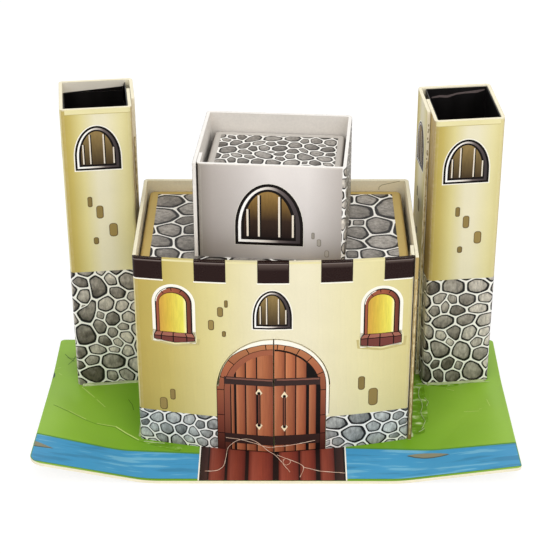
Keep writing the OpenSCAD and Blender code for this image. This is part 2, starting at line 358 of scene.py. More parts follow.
class Tree:
    """Short way to add linked nodes to a node tree."""

    def __init__(self, tree):
        self.nodes, self.links = tree.nodes, tree.links

    def add(self, kind, inputs=None, **settings):
        node = self.nodes.new(kind)
        for name, value in settings.items():
            setattr(node, name, value)
        self.feed(node, inputs or {})
        return node

    def feed(self, node, inputs):
        """Gives a node's inputs their links and values."""
        for name, value in inputs.items():
            socket = node.inputs[name]
            if isinstance(value, bpy.types.NodeSocket):
                self.links.new(value, socket)
            else:
                socket.default_value = value

    def math(self, operation, *values):
        return self.add("ShaderNodeMath", dict(enumerate(values)), operation=operation).outputs[0]

    def fit(self, value, times, plus):
        """Value times a number, plus a number."""
        return self.math("ADD", self.math("MULTIPLY", value, times), plus)

    def swing(self, value, times):
        """Value from 0 to 1 made to swing about zero, times a number."""
        return self.math("MULTIPLY", self.math("SUBTRACT", value, 0.5), times)

    def vector(self, operation, first, second):
        name = "Scale" if operation == "SCALE" else 1
        return self.add("ShaderNodeVectorMath", {0: first, name: second}, operation=operation).outputs[0]

    def dim(self, colour, amount):
        """Colour times an amount."""
        return self.vector("SCALE", colour, amount)

    def place(self, stretch=None):
        """Object coordinates, scaled for a pattern that runs one way."""
        spot = self.add("ShaderNodeTexCoord").outputs["Object"]
        if stretch is None:
            return spot
        return self.add("ShaderNodeMapping", {"Vector": spot, "Scale": stretch}).outputs[0]

    def noise(self, scale, detail, vector, roughness=0.5):
        inputs = {"Scale": scale, "Detail": detail, "Roughness": roughness, "Vector": vector}
        return self.add("ShaderNodeTexNoise", inputs).outputs["Fac"]

    def attribute(self, name):
        return self.add("ShaderNodeAttribute", attribute_name=name).outputs["Fac"]

    def ramp(self, value, *stops):
        """Colour ramp through stops of (position, linear colour)."""
        node = self.add("ShaderNodeValToRGB", {"Fac": value})
        elements = node.color_ramp.elements
        while len(elements) < len(stops):
            elements.new(0.5)
        for element, (position, colour) in zip(elements, stops):
            element.position = position
            element.color = rgba(colour)
        return node.outputs["Color"]

    def mix(self, amount, first, second):
        """Colour between two, from the first at 0 to the second at 1."""
        node = self.add("ShaderNodeMix", data_type="RGBA")
        ends = (c if isinstance(c, bpy.types.NodeSocket) else rgba(c) for c in (first, second))
        self.feed(node, dict(zip((0, 6, 7), (amount, *ends))))
        return node.outputs[2]

    def bump(self, height, strength, distance):
        inputs = {"Height": height, "Strength": strength, "Distance": distance}
        return self.add("ShaderNodeBump", inputs).outputs["Normal"]

    def store(self, node, name, value):
        """Keeps a value on the points of a node's geometry."""
        inputs = {"Geometry": node.outputs[0], "Name": name, "Value": value}
        return self.add("GeometryNodeStoreNamedAttribute", inputs, data_type="FLOAT", domain="POINT")

    def seen(self):
        """Rays that show the pale studio: from the camera, or from gloss and glass."""
        path = self.add("ShaderNodeLightPath").outputs
        bent = self.math("MAXIMUM", path["Is Glossy Ray"], path["Is Transmission Ray"])
        return self.math("MAXIMUM", path["Is Camera Ray"], bent)


def add_sockets(tree, in_out, sockets):
    for name, kind in sockets:
        tree.interface.new_socket(name, in_out=in_out, socket_type="NodeSocket" + kind)


def printed_paper_group():
    """Shader group: mottled ink on paper fibre, rubbed pale where the paper is folded."""
    tree = bpy.data.node_groups.new("Printed Paper", "ShaderNodeTree")
    add_sockets(tree, "INPUT", (("Color", "Color"), ("Mottle", "Float"), ("Roughness", "Float")))
    add_sockets(tree, "OUTPUT", (("Color", "Color"), ("Roughness", "Float"), ("Height", "Float")))
    t = Tree(tree)
    given = t.add("NodeGroupInput").outputs
    place = t.place()
    cloud = t.noise(48, 3, place)
    fibre = t.noise(1100, 2, place, 0.7)
    flutes = t.noise(260, 1, t.place((1, 1, 0.03)))
    grain = t.math("ADD", t.math("SUBTRACT", cloud, 0.5), t.swing(fibre, 0.6))
    tone = t.fit(grain, given["Mottle"], 1.0)
    wear = t.math("MULTIPLY", t.attribute("wear"), t.math("MULTIPLY", t.noise(420, 3, place), 1.5))
    worn = t.math("MINIMUM", t.math("POWER", wear, 1.5), 0.85)
    colour = t.mix(worn, t.dim(given["Color"], tone), srgb(238, 232, 216))
    rough = t.fit(grain, 0.14, given["Roughness"])
    height = t.math("ADD", t.math("MULTIPLY", fibre, 0.35), t.math("MULTIPLY", flutes, 0.65))
    t.add("NodeGroupOutput", {"Color": colour, "Roughness": rough, "Height": height})


def new_material(name):
    """Material with an empty Principled shader, its Tree and the shader."""
    made = bpy.data.materials.new(name)
    made.use_nodes = True
    return made, Tree(made.node_tree), made.node_tree.nodes["Principled BSDF"]


def printed(name, colour, mottle=0.12, roughness=0.5, bump=0.12, specular=0.25):
    """Printed paper whose ink is what colour(tree) gives."""
    _, t, shader = new_material(name)
    group = t.add("ShaderNodeGroup", node_tree=bpy.data.node_groups["Printed Paper"])
    t.feed(group, {"Color": colour(t), "Mottle": mottle, "Roughness": roughness})
    t.feed(shader, {
        "Base Color": group.outputs["Color"],
        "Roughness": group.outputs["Roughness"],
        "Normal": t.bump(group.outputs["Height"], bump, 0.0004),
        "Specular IOR Level": specular,
    })


def plain_ink(name, colour, vary=0.02, **finish):
    """Printed paper in one ink, a little lighter or darker from patch to patch."""
    ink_colour = mixed(colour)
    printed(name, lambda t: t.dim(ink_colour, t.fit(t.attribute("shade"), vary, 1 - vary / 2)), **finish)


def wall_ink(name, stops, foot_shade):
    """Wall ink that runs through stops from its left edge to its right, and is shaded towards its foot."""

    def colour(t):
        ink_colour = t.ramp(t.attribute("across"), *mixed_stops(stops))
        up = t.math("POWER", t.attribute("up"), 0.7)
        return t.dim(ink_colour, t.fit(up, foot_shade, 1 - foot_shade))

    printed(name, colour)


def stone_ink(name, dark, light, slant):
    """Scratched stones with a drawn outline, lighter by a slant towards the right of a wall."""

    def colour(t):
        rim, lean = t.attribute("rim"), t.attribute("lean")
        scratch = t.noise(520, 4, t.place((1, 1, 0.45)), 0.65)
        cloud = t.noise(210, 2, t.place())
        side = t.swing(t.attribute("across"), slant)
        tone = t.math("ADD", t.attribute("shade"), t.swing(cloud, 0.9))
        lit = t.math("ADD", t.math("ADD", side, t.math("MULTIPLY", lean, 0.32)), 0.1)
        face = t.ramp(t.fit(tone, 0.8, lit), (0.0, mixed(dark)), (1.0, mixed(light)))
        worked = t.dim(face, t.fit(scratch, 2.2, -0.1))
        shaded = t.dim(worked, t.fit(rim, 0.3, 0.75))
        edge = t.math("ADD", t.fit(lean, 0.12, rim), t.swing(cloud, 0.4))
        return t.mix(t.ramp(edge, (0.4, BLACK), (0.58, WHITE)), mixed("outline"), shaded)

    printed(name, colour, mottle=0.1, roughness=0.45)


def ramp_ink(name, field, stops, grain, finish):
    """Printed paper whose ink runs through stops along a field of the drawing, with any wood grain."""

    def colour(t):
        run = t.ramp(t.attribute(field), *mixed_stops(stops))
        vary = t.fit(t.attribute("shade"), 0.22, 0.89)
        if grain is not None:
            lines = t.noise(900, 3, t.place(grain), 0.6)
            vary = t.math("MULTIPLY", vary, t.fit(lines, 0.5, 0.75))
        return t.dim(run, vary)

    printed(name, colour, **finish)


def water_ink():
    """Blue water with long pale and dark streaks."""

    def colour(t):
        streaks = t.noise(55, 3, t.place((0.35, 3.2, 1)), 0.55)
        deep = mixed("water")
        pale = tuple(0.55 * a + 0.45 * b for a, b in zip(deep, srgb(140, 200, 220)))
        dark = tuple(0.78 * a for a in deep)
        return t.ramp(streaks, (0.36, dark), (0.44, deep), (0.55, deep), (0.6, pale))

    printed("water", colour, mottle=0.08, roughness=0.32)


def grass_ink():
    """Green grass, paler towards the outer edges."""

    def colour(t):
        pale, green = mixed("grass_pale"), mixed("grass")
        shifted = t.math("ADD", t.attribute("across"), t.swing(t.noise(14, 2, t.place()), 0.16))
        return t.ramp(shifted, (0.02, pale), (0.2, green), (0.8, green), (0.98, pale))

    printed("grass", colour, mottle=0.08, roughness=0.33)


def smear_ink():
    """Grass under a thin smear of glue, streaked with pale glints."""

    def colour(t):
        streaks = t.noise(150, 3, t.place((0.7, 1.6, 1)), 0.6)
        green = mixed("grass")
        wet = tuple(0.8 * v for v in green)
        pale, glint = srgb(150, 184, 92), srgb(206, 224, 170)
        return t.ramp(streaks, (0.4, wet), (0.52, green), (0.6, pale), (0.7, glint))

    printed("glue smear", colour, roughness=0.14, bump=0.9)


def board_material(name, inside, edge):
    """Bare board: fibrous inside, paler where it is cut across the top. On the roof cards the colour of the
    faces that don't point up is painted shade where the card folds down.
    """
    _, t, shader = new_material(name)
    place = t.place()
    up = t.add("ShaderNodeSeparateXYZ", {0: t.add("ShaderNodeNewGeometry").outputs["Normal"]}).outputs["Z"]
    fibre, cloud = t.noise(700, 4, place, 0.7), t.noise(60, 2, place)
    colour = t.mix(t.ramp(up, (0.6, BLACK), (0.9, WHITE)), mixed(inside), mixed(edge))
    tone = t.math("ADD", t.fit(fibre, 0.22, t.math("MULTIPLY", cloud, 0.14)), 0.82)
    t.feed(shader, {
        "Base Color": t.dim(colour, tone),
        "Roughness": t.fit(fibre, 0.2, 0.65),
        "Normal": t.bump(fibre, 0.3, 0.0003),
    })


def lining_material():
    """Black paper with a soft sheen and a few scuffs."""
    _, t, shader = new_material("black lining paper")
    scuff = t.noise(140, 4, t.place((1, 1, 0.2)), 0.6)
    t.feed(shader, {
        "Base Color": t.dim(mixed("lining"), t.math("ADD", scuff, 0.5)),
        "Roughness": t.fit(scuff, 0.3, 0.22),
        "Normal": t.bump(t.noise(900, 2, t.place()), 0.1, 0.0002),
    })


def glue_material(name, scale, gloss, colour, transmission=0.0):
    """Glossy glue, clouded by noise of a scale, whose colour is what colour(tree, cloud) gives."""
    _, t, shader = new_material(name)
    cloud = t.noise(scale, 2, t.place())
    t.feed(shader, {
        "Base Color": colour(t, cloud),
        "Roughness": t.fit(cloud, 0.2, gloss),
        "Transmission Weight": transmission,
    })


def turned(x, y, angle):
    return Vector((x * math.cos(angle) - y * math.sin(angle), x * math.sin(angle) + y * math.cos(angle)))


class Sleeve:
    """Printed outside of a folded strip.

    Flat points are millimetres along the strip, to the right as seen from outside, and up from its foot.
    """

    ARC_STEPS = 8
    NEAR = 1e-4

    def __init__(self, width, depth, lap, locate, mirrored, foot, rims):
        path = []
        if lap > FOLD_R:
            path.append((LAYER, lap + BOARD))
        path += self.arc(LAYER + FOLD_R, FOLD_R, 180)
        path += self.arc(width - FOLD_R, FOLD_R, 270)
        path += self.arc(width - FOLD_R, depth - FOLD_R, 0)
        path += self.arc(FOLD_R, depth - FOLD_R, 90)
        path.append((0, lap))
        if mirrored:
            path.reverse()
        self.depth, self.foot, self.rims = depth, foot, rims
        self.backs = [y for _, y in path]
        self.points = [locate(x, y) for x, y in path]
        self.along = [0.0]
        for a, b in zip(self.points, self.points[1:]):
            self.along.append(self.along[-1] + (b - a).length)
        steps = [(b - a).normalized() for a, b in zip(self.points, self.points[1:])]
        self.normals = [Vector((t.y, -t.x)) for t in steps]
        ends = [self.normals[0], *self.normals, self.normals[-1]]
        self.corner_normals = [(a + b).normalized() for a, b in zip(ends, ends[1:])]
        self.cuts = [((s, 0), (1, 0)) for s in self.along[1:-1]]
        self.creases = []

    def arc(self, x, y, start):
        angles = [math.radians(start + 90 * i / self.ARC_STEPS) for i in range(self.ARC_STEPS + 1)]
        return [(x + FOLD_R * math.cos(a), y + FOLD_R * math.sin(a)) for a in angles]

    def span(self, s):
        i = min(max(bisect_right(self.along, s) - 1, 0), len(self.along) - 2)
        return i, (s - self.along[i]) / (self.along[i + 1] - self.along[i])

    def find(self, point):
        """Flat place along the strip of the plan point nearest to a point."""
        best = None
        for i, (a, b) in enumerate(zip(self.points, self.points[1:])):
            t = min(max((point - a).dot(b - a) / (b - a).length_squared, 0), 1)
            off = (a.lerp(b, t) - point).length
            if best is None or off < best[0]:
                best = (off, self.along[i] + t * (self.along[i + 1] - self.along[i]))
        return best[1]

    def rim(self, s):
        i, t = self.span(s)
        back = self.backs[i] + t * (self.backs[i + 1] - self.backs[i])
        return self.rims[0] + (self.rims[1] - self.rims[0]) * back / self.depth

    def normal(self, i, t):
        """Outward way on a span, halfway to its neighbour's at either end."""
        if t < self.NEAR:
            return self.corner_normals[i]
        if t > 1 - self.NEAR:
            return self.corner_normals[i + 1]
        return self.normals[i]

    def place(self, s, z, lift):
        i, t = self.span(s)
        plan = self.points[i].lerp(self.points[i + 1], t) + self.normal(i, t) * lift
        return Vector((plan.x, plan.y, self.foot + z)) * MM

    def across(self, s):
        """How far across its wall a flat place is, from 0 at the left to 1 at the right."""
        for start, end in self.walls():
            if start <= s <= end:
                return (s - start) / (end - start)
        return 0.5

    def walls(self):
        """Flat start and end of each wall, from the middle of a fold to the middle of the next."""
        half = self.ARC_STEPS // 2
        straight = [i for i, (a, b) in enumerate(zip(self.along, self.along[1:])) if b - a > FOLD_R]
        last = len(self.along) - 1
        return [(self.along[max(i - half, 0)], self.along[min(i + 1 + half, last)]) for i in straight]


def hall_place(x, y):
    return Vector((HALL_HIGH.x - x, HALL_FRONT + y))


class HallSleeve(Sleeve):
    """The hall's strip, whose front wall has bowed out."""

    def __init__(self):
        super().__init__(HALL_W, HALL_D, 0.0, hall_place, True, BASE_T, (HALL_H, HALL_H))
        self.front = self.find(Vector((FRONT_LEFT, HALL_FRONT)))
        column = 2 * FRONT_HALF / BOW_COLUMNS
        self.columns = [self.front + i * column for i in range(BOW_COLUMNS + 1)]
        self.cuts += [((s, 0), (1, 0)) for s in self.columns]
        self.creases = list(zip(self.columns, self.columns[1:]))

    @staticmethod
    def foot_out(u):
        return FOOT_BOW * (FOOT_CREASE * (1 - abs(u)) + (1 - FOOT_CREASE) * (1 - u * u))

    @staticmethod
    def top_out(u):
        return TOP_BOW * (1 - u * u)

    def bow(self, u, z):
        """Outward bow of the front wall on its flat columns, u from -1 to 1."""
        k = (u + 1) * BOW_COLUMNS / 2
        i = min(max(int(k), 0), BOW_COLUMNS - 1)
        s, t = k - i, z / HALL_H
        u0, u1 = 2 * i / BOW_COLUMNS - 1, 2 * (i + 1) / BOW_COLUMNS - 1
        foot0, foot1, top0, top1 = self.foot_out(u0), self.foot_out(u1), self.top_out(u0), self.top_out(u1)
        if s + t <= 1:
            return foot0 + s * (foot1 - foot0) + t * (top0 - foot0)
        return top1 + (1 - s) * (top0 - top1) + (1 - t) * (foot1 - top1)

    def place(self, s, z, lift):
        spot = super().place(s, z, lift)
        u = (s - self.front) / FRONT_HALF - 1
        if -1 <= u <= 1:
            spot.y -= self.bow(u, z) * MM
        return spot


class FrontRim:
    """Top edge of the hall's front wall, over which its paper is turned, along the strip and inwards."""

    creases = ()

    def __init__(self, hall):
        self.hall, self.cuts = hall, hall.cuts

    def place(self, s, inwards, lift):
        spot = self.hall.place(s, HALL_H, -inwards)
        spot.z += lift * MM
        return spot


class Plane:
    """Flat face of the castle, in millimetres along two directions from a corner."""

    def __init__(self, corner, right, up):
        self.corner, self.right, self.up = corner, right, up
        self.out = right.cross(up)
        self.cuts = self.creases = []

    @staticmethod
    def across(_):
        return 0.5

    def place(self, x, y, lift):
        return (self.corner + self.right * x + self.up * y + self.out * lift) * MM


def roof_plane(corner, angle, height):
    right, up = turned(1, 0, angle), turned(0, 1, angle)
    return Plane(Vector((*corner, height)), Vector((*right, 0)), Vector((*up, 0)))


def wall_plane(corner, along, foot):
    """Face of an upright wall from a plan corner along a plan direction, to the right as it is seen."""
    return Plane(Vector((*corner, foot)), Vector((*along.normalized(), 0)), Vector((0, 0, 1)))


class Ground:
    """Printed top of the base board, whose front corners have curled up."""

    def __init__(self):
        left = LEFT_REAR + turned(-TOWER_W, -TOWER_D, TOWER_TURN)
        right = RIGHT_REAR + turned(TOWER_W, -TOWER_D, TOWER_TURN)
        self.curls = [self.curl(1, right, RIGHT_CURL), self.curl(-1, left, LEFT_CURL)]
        self.cuts, self.creases = [], []
        for start, across, bends in self.curls:
            for step, _ in bends:
                at = start + across * step
                self.cuts.append(((at.x, at.y), (across.x, across.y)))

    @staticmethod
    def curl(side, foot, angle):
        """Where a corner curls: a point of the line, the way across it and the rise along that way."""
        start = Vector((side * (BASE_HIGH.x - CURL_START), BASE_LOW.y))
        run = (foot + Vector((side * CURL_MARGIN, 0)) - start).normalized()
        across = Vector((run.y, -run.x)) * side
        turns = [angle * i / CURL_CREASES for i in range(CURL_CREASES + 1)]
        bends = [(CURL_BEND_R * math.sin(a), CURL_BEND_R * (1 - math.cos(a))) for a in turns]
        end = bends[-1]
        return start, across, [*bends, (end[0] + BASE_HIGH.x, end[1] + BASE_HIGH.x * math.tan(angle))]

    def rise(self, x, y):
        for start, across, bends in self.curls:
            step = (Vector((x, y)) - start).dot(across)
            for (a, low), (b, high) in zip(bends, bends[1:]):
                if a < step <= b:
                    return low + (high - low) * (step - a) / (b - a)
        return 0.0

    def place(self, x, y, lift):
        return Vector((x, y, BASE_T + self.rise(x, y) + lift)) * MM


def cut(bm, faces, point, normal, **settings):
    """Cuts faces of a flat drawing along a line through a point, across its normal."""
    edges = dict.fromkeys(e for f in faces for e in f.edges)
    verts = dict.fromkeys(v for f in faces for v in f.verts)
    geom = [*verts, *edges, *faces]
    bmesh.ops.bisect_plane(bm, geom=geom, dist=1e-4, plane_co=(*point, 0), plane_no=(*normal, 0), **settings)


class Drawing:
    """Flat artwork: convex patches of ink in millimetres, each on its own layer of the print."""

    FIELDS = ("across", "up", "shade", "wear")

    def __init__(self):
        self.bm = bmesh.new()
        self.fields = {name: self.bm.verts.layers.float.new(name) for name in self.FIELDS}
        self.inks = []

    def slot(self, ink_name):
        if ink_name not in self.inks:
            self.inks.append(ink_name)
        return self.inks.index(ink_name)

    def patch(self, points, ink_name, layer=0, box=None, shade=0.5, wear=None):
        """One convex patch. Its across and up fields run from 0 to 1 over the box, or over itself."""
        xs, ys = [p[0] for p in points], [p[1] for p in points]
        x0, y0, x1, y1 = box or (min(xs), min(ys), max(xs), max(ys))
        verts = []
        for k, (x, y) in enumerate(points):
            v = self.bm.verts.new((x, y, PAPER + INK * layer))
            v[self.fields["across"]] = (x - x0) / (x1 - x0)
            v[self.fields["up"]] = (y - y0) / (y1 - y0)
            v[self.fields["shade"]] = shade
            v[self.fields["wear"]] = wear[k] if wear else 0.0
            verts.append(v)
        face = self.bm.faces.new(verts)
        face.material_index = self.slot(ink_name)

    def rect(self, x0, y0, x1, y1, ink_name, layer=0, **fields):
        self.patch([(x0, y0), (x1, y0), (x1, y1), (x0, y1)], ink_name, layer, **fields)

    def band(self, outer, inner, ink_name, layer=0, **fields):
        """Strip between two lines of equally many points."""
        for a, b, c, d in zip(outer, outer[1:], inner[1:], inner):
            self.patch([a, b, c, d], ink_name, layer, **fields)

    def stroke(self, points, width, ink_name, layer=0, **fields):
        """Line of ink of one width through points."""
        for (x0, y0), (x1, y1) in zip(points, points[1:]):
            side = Vector((y0 - y1, x1 - x0)).normalized() * width / 2
            self.patch(
                [(x0 - side.x, y0 - side.y), (x1 - side.x, y1 - side.y), (x1 + side.x, y1 + side.y),
                 (x0 + side.x, y0 + side.y)],
                ink_name, layer, **fields,
            )

    def finish(self, name, sheet, slot):
        """Cuts the patches where the sheet bends, folds them onto it and makes the piece."""
        bm = self.bm
        xs, ys = [v.co.x for v in bm.verts], [v.co.y for v in bm.verts]
        corners = [(x, y) for x in (min(xs), max(xs)) for y in (min(ys), max(ys))]
        for point, normal in sheet.cuts:
            offs = [(x - point[0]) * normal[0] + (y - point[1]) * normal[1] for x, y in corners]
            if min(offs) < 0 < max(offs):
                cut(bm, bm.faces[:], point, normal)
        for left, right in sheet.creases:
            column = [f for f in bm.faces if left < f.calc_center_median().x < right]
            cut(bm, column, (right, 0), (HALL_H, right - left))
        for v in bm.verts:
            v.co = sheet.place(*v.co)
        bm.normal_update()
        mesh = bpy.data.meshes.new(name)
        bm.to_mesh(mesh)
        bm.free()
        for ink_name in self.inks:
            mesh.materials.append(material(ink_name))
        add_piece(name, mesh, slot)


def add_piece(name, mesh, slot):
    """Puts a finished mesh in the scene as a piece that rides on the castle."""
    piece = bpy.data.objects.new(name, mesh)
    bpy.context.scene.collection.objects.link(piece)
    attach(piece, "root")
    return piece


def arch(left, right, foot, top, spring, steps=24):
    """Outline of an arch from its foot at the right, over the top, to its foot at the left."""
    x, half = (left + right) / 2, (right - left) / 2
    turns = [math.pi * i / steps for i in range(steps + 1)]
    curve = [(x + half * math.cos(a), spring + (top - spring) * math.sin(a)) for a in turns]
    return [(right, foot), *curve, (left, foot)]


def ring_point(x, y, radius, degrees):
    return (x + radius * math.cos(math.radians(degrees)), y + radius * math.sin(math.radians(degrees)))


def ring_arc(x, y, radius, start, end, steps):
    return [ring_point(x, y, radius, start + (end - start) * i / steps) for i in range(steps + 1)]


def rounded(x, y, width, height, radius, steps=4):
    """Outline of a rectangle with rounded corners, round its middle."""
    outline = []
    for corner, (sx, sy) in enumerate(((1, 1), (-1, 1), (-1, -1), (1, -1))):
        cx, cy = x + sx * (width / 2 - radius), y + sy * (height / 2 - radius)
        outline += ring_arc(cx, cy, radius, 90 * corner, 90 * corner + 90, steps)
    return outline


def geometry_tree(name, sockets):
    """Geometry node tree with named inputs: its Tree and those inputs."""
    tree = bpy.data.node_groups.new(name, "GeometryNodeTree")
    add_sockets(tree, "INPUT", sockets)
    add_sockets(tree, "OUTPUT", (("Geometry", "Geometry"),))
    t = Tree(tree)
    return t, t.add("NodeGroupInput").outputs


def end_tree(t, node, ink_socket):
    """Ends a geometry node tree with plain geometry in one ink."""
    real = t.add("GeometryNodeRealizeInstances", {"Geometry": node.outputs[0]})
    inked = t.add("GeometryNodeSetMaterial", {"Geometry": real.outputs[0], "Material": ink_socket})
    t.add("NodeGroupOutput", {0: inked.outputs[0]})


def cobble_tree():
    """Geometry nodes: a flat sheet of irregular rounded stones round the origin."""
    measures = ("Width", "Height", "Stone", "Flatness", "Jitter", "Merge", "Grout", "Rim", "Corner")
    sockets = [(name, "Float") for name in measures]
    t, given = geometry_tree("Cobbles", (*sockets, ("Seed", "Int"), ("Ink", "Material")))
    stone_w, seed = given["Stone"], given["Seed"]
    stone_h = t.math("MULTIPLY", stone_w, given["Flatness"])
    columns = t.math("ADD", t.math("CEIL", t.math("DIVIDE", given["Width"], stone_w)), SPARE_STONES)
    rows = t.math("ADD", t.math("CEIL", t.math("DIVIDE", given["Height"], stone_h)), SPARE_STONES)
    grid = t.add("GeometryNodeMeshGrid", {
        "Size X": t.math("MULTIPLY", t.math("SUBTRACT", columns, 1), stone_w),
        "Size Y": t.math("MULTIPLY", t.math("SUBTRACT", rows, 1), stone_h),
        "Vertices X": columns,
        "Vertices Y": rows,
    })
    y = t.add("ShaderNodeSeparateXYZ", {0: t.add("GeometryNodeInputPosition").outputs[0]}).outputs["Y"]
    odd = t.math("FLOORED_MODULO", t.math("ROUND", t.math("DIVIDE", y, stone_h)), 2)
    shift = t.add("ShaderNodeCombineXYZ", {"X": t.math("MULTIPLY", t.math("MULTIPLY", odd, 0.5), stone_w)})
    limits = {"Min": (-1, -1, 0), "Max": (1, 1, 0), "Seed": seed}
    scatter = t.add("FunctionNodeRandomValue", limits, data_type="FLOAT_VECTOR").outputs[0]
    reach = t.add("ShaderNodeCombineXYZ", {
        "X": t.math("MULTIPLY", stone_w, given["Jitter"]),
        "Y": t.math("MULTIPLY", stone_h, given["Jitter"]),
    })
    offset = t.vector("ADD", shift.outputs[0], t.vector("MULTIPLY", scatter, reach.outputs[0]))
    moved = t.add("GeometryNodeSetPosition", {"Geometry": grid.outputs[0], "Offset": offset})
    near = t.math("MULTIPLY", stone_h, given["Merge"])
    merged = t.add("GeometryNodeMergeByDistance", {"Geometry": moved.outputs[0], "Distance": near})
    triangles = t.add("GeometryNodeTriangulate", {"Mesh": merged.outputs[0]})
    cells = t.add("GeometryNodeDualMesh", {"Mesh": triangles.outputs[0]})
    apart = t.add("GeometryNodeSplitEdges", {"Mesh": cells.outputs[0]})
    side = t.math("SQRT", t.add("GeometryNodeInputMeshFaceArea").outputs[0])
    left = t.math("MAXIMUM", t.math("SUBTRACT", 1.0, t.math("DIVIDE", given["Grout"], side)), 0.3)
    shrunk = t.add("GeometryNodeScaleElements", {"Geometry": apart.outputs[0], "Scale": left})
    ring = t.add("GeometryNodeExtrudeMesh", {
        "Mesh": shrunk.outputs[0],
        "Offset Scale": 0.0,
        "Individual": True,
    })
    face = t.add("GeometryNodeScaleElements", {
        "Geometry": ring.outputs["Mesh"],
        "Selection": ring.outputs["Top"],
        "Scale": given["Rim"],
    })
    rim = t.store(face, "rim", ring.outputs["Top"])
    split = t.add("GeometryNodeSubdivideMesh", {"Mesh": rim.outputs[0], "Level": 1})
    smooth = t.add("GeometryNodeSubdivisionSurface", {
        "Mesh": split.outputs[0],
        "Level": 1,
        "Vertex Crease": given["Corner"],
    })
    island = t.add("GeometryNodeInputMeshIsland").outputs["Island Index"]
    shade = t.add("FunctionNodeRandomValue", {"ID": island, "Seed": seed}, data_type="FLOAT").outputs[1]
    end_tree(t, t.store(smooth, "shade", shade), given["Ink"])


def grown(tree, values, source=None):
    """Plain mesh of a geometry node tree with its inputs set, grown from a source mesh or from nothing."""
    source = source or bpy.data.meshes.new("source")
    holder = bpy.data.objects.new("holder", source)
    bpy.context.scene.collection.objects.link(holder)
    modifier = holder.modifiers.new("Nodes", "NODES")
    modifier.node_group = tree
    for item in tree.interface.items_tree:
        if item.in_out == "INPUT" and item.name in values:
            modifier[item.identifier] = values[item.name]
    holder.update_tag()
    depsgraph = bpy.context.evaluated_depsgraph_get()
    mesh = bpy.data.meshes.new_from_object(holder.evaluated_get(depsgraph), depsgraph=depsgraph)
    bpy.data.objects.remove(holder)
    bpy.data.meshes.remove(source)
    return mesh


def lean_stones(bm):
    """Notes on each point of a stone how far it lies towards the lit side, from -1 to 1."""
    lean = bm.verts.layers.float.new("lean")
    tone = bm.verts.layers.float["shade"]
    stones = defaultdict(list)
    for v in bm.verts:
        stones[v[tone]].append(v)
    for points in stones.values():
        middle = sum((v.co for v in points), Vector()) / len(points)
        reach = max((v.co - middle).length for v in points) or 1
        for v in points:
            v[lean] = (v.co - middle).dot(LIT_SIDE) / reach


def cobbles(name, sheet, slot, area, stone, flatness, stones, seed):
    """Stones over an area of a sheet, cut off straight at its edges."""
    x0, y0, x1, y1 = area
    p = sizes()
    mesh = grown(bpy.data.node_groups["Cobbles"], {
        "Width": x1 - x0, "Height": y1 - y0, "Stone": stone, "Flatness": flatness, "Jitter": p.jitter,
        "Merge": p.merge, "Grout": p.grout / MM, "Rim": STONE_RIM, "Corner": p.corner, "Seed": seed,
        "Ink": material(stones)})
    drawing = Drawing()
    drawing.bm.free()
    drawing.bm = bm = bmesh.new()
    drawing.inks = [stones]
    bm.from_mesh(mesh)
    bpy.data.meshes.remove(mesh)
    lean_stones(bm)
    bmesh.ops.translate(bm, verts=bm.verts[:], vec=((x0 + x1) / 2, (y0 + y1) / 2, PAPER + INK * STONE_LAYER))
    for point, normal in (((x0, 0), (-1, 0)), ((x1, 0), (1, 0)), ((0, y0), (0, -1)), ((0, y1), (0, 1))):
        cut(bm, bm.faces[:], point, normal, clear_outer=True)
    bmesh.ops.delete(bm, geom=[v for v in bm.verts if not v.link_faces], context="VERTS")
    across = bm.verts.layers.float.new("across")
    for v in bm.verts:
        v[across] = sheet.across(v.co.x)
    drawing.finish(name, sheet, slot)


def material(name):
    return bpy.data.materials[name]


def print_slot(name):
    return "keep_print" if name == "keep" else "wall_print"


SHEETS = {}


def left_place(x, y):
    return LEFT_REAR + turned(-x, y - TOWER_D, TOWER_TURN)


def right_place(x, y):
    return RIGHT_REAR + turned(x, y - TOWER_D, TOWER_TURN)


def keep_place(x, y):
    middle = Vector(((ROOF_LOW.x + ROOF_HIGH.x) / 2, HALL_FRONT + KEEP_SETBACK + KEEP_D / 2))
    return middle + turned(x - KEEP_W / 2, y - KEEP_D / 2, KEEP_TURN)


def lay_out_sheets():
    """The printed sheets of the castle, each with the flat place of its artwork."""
    SHEETS["hall"] = HallSleeve()
    SHEETS["left"] = Sleeve(TOWER_W, TOWER_D, LAP_BACK, left_place, True, BASE_T, LEFT_RIMS)
    SHEETS["right"] = Sleeve(TOWER_W, TOWER_D, LAP_BACK, right_place, False, BASE_T, RIGHT_RIMS)
    SHEETS["keep"] = Sleeve(KEEP_W, KEEP_D, 0.0, keep_place, False, ROOF_HIGH.z, (KEEP_H, KEEP_H))
    SHEETS["ground"] = Ground()
    SHEETS["left"].origin = SHEETS["left"].find(left_place(TOWER_W - FOLD_R, 0)) - FOLD_R
    SHEETS["right"].origin = SHEETS["right"].find(right_place(TOWER_W - FOLD_R, 0)) - TOWER_W + FOLD_R
    SHEETS["keep"].origin = SHEETS["keep"].find(keep_place(KEEP_W - FOLD_R, 0)) - KEEP_W + FOLD_R
    SHEETS["hall"].origin = SHEETS["hall"].front + FRONT_HALF


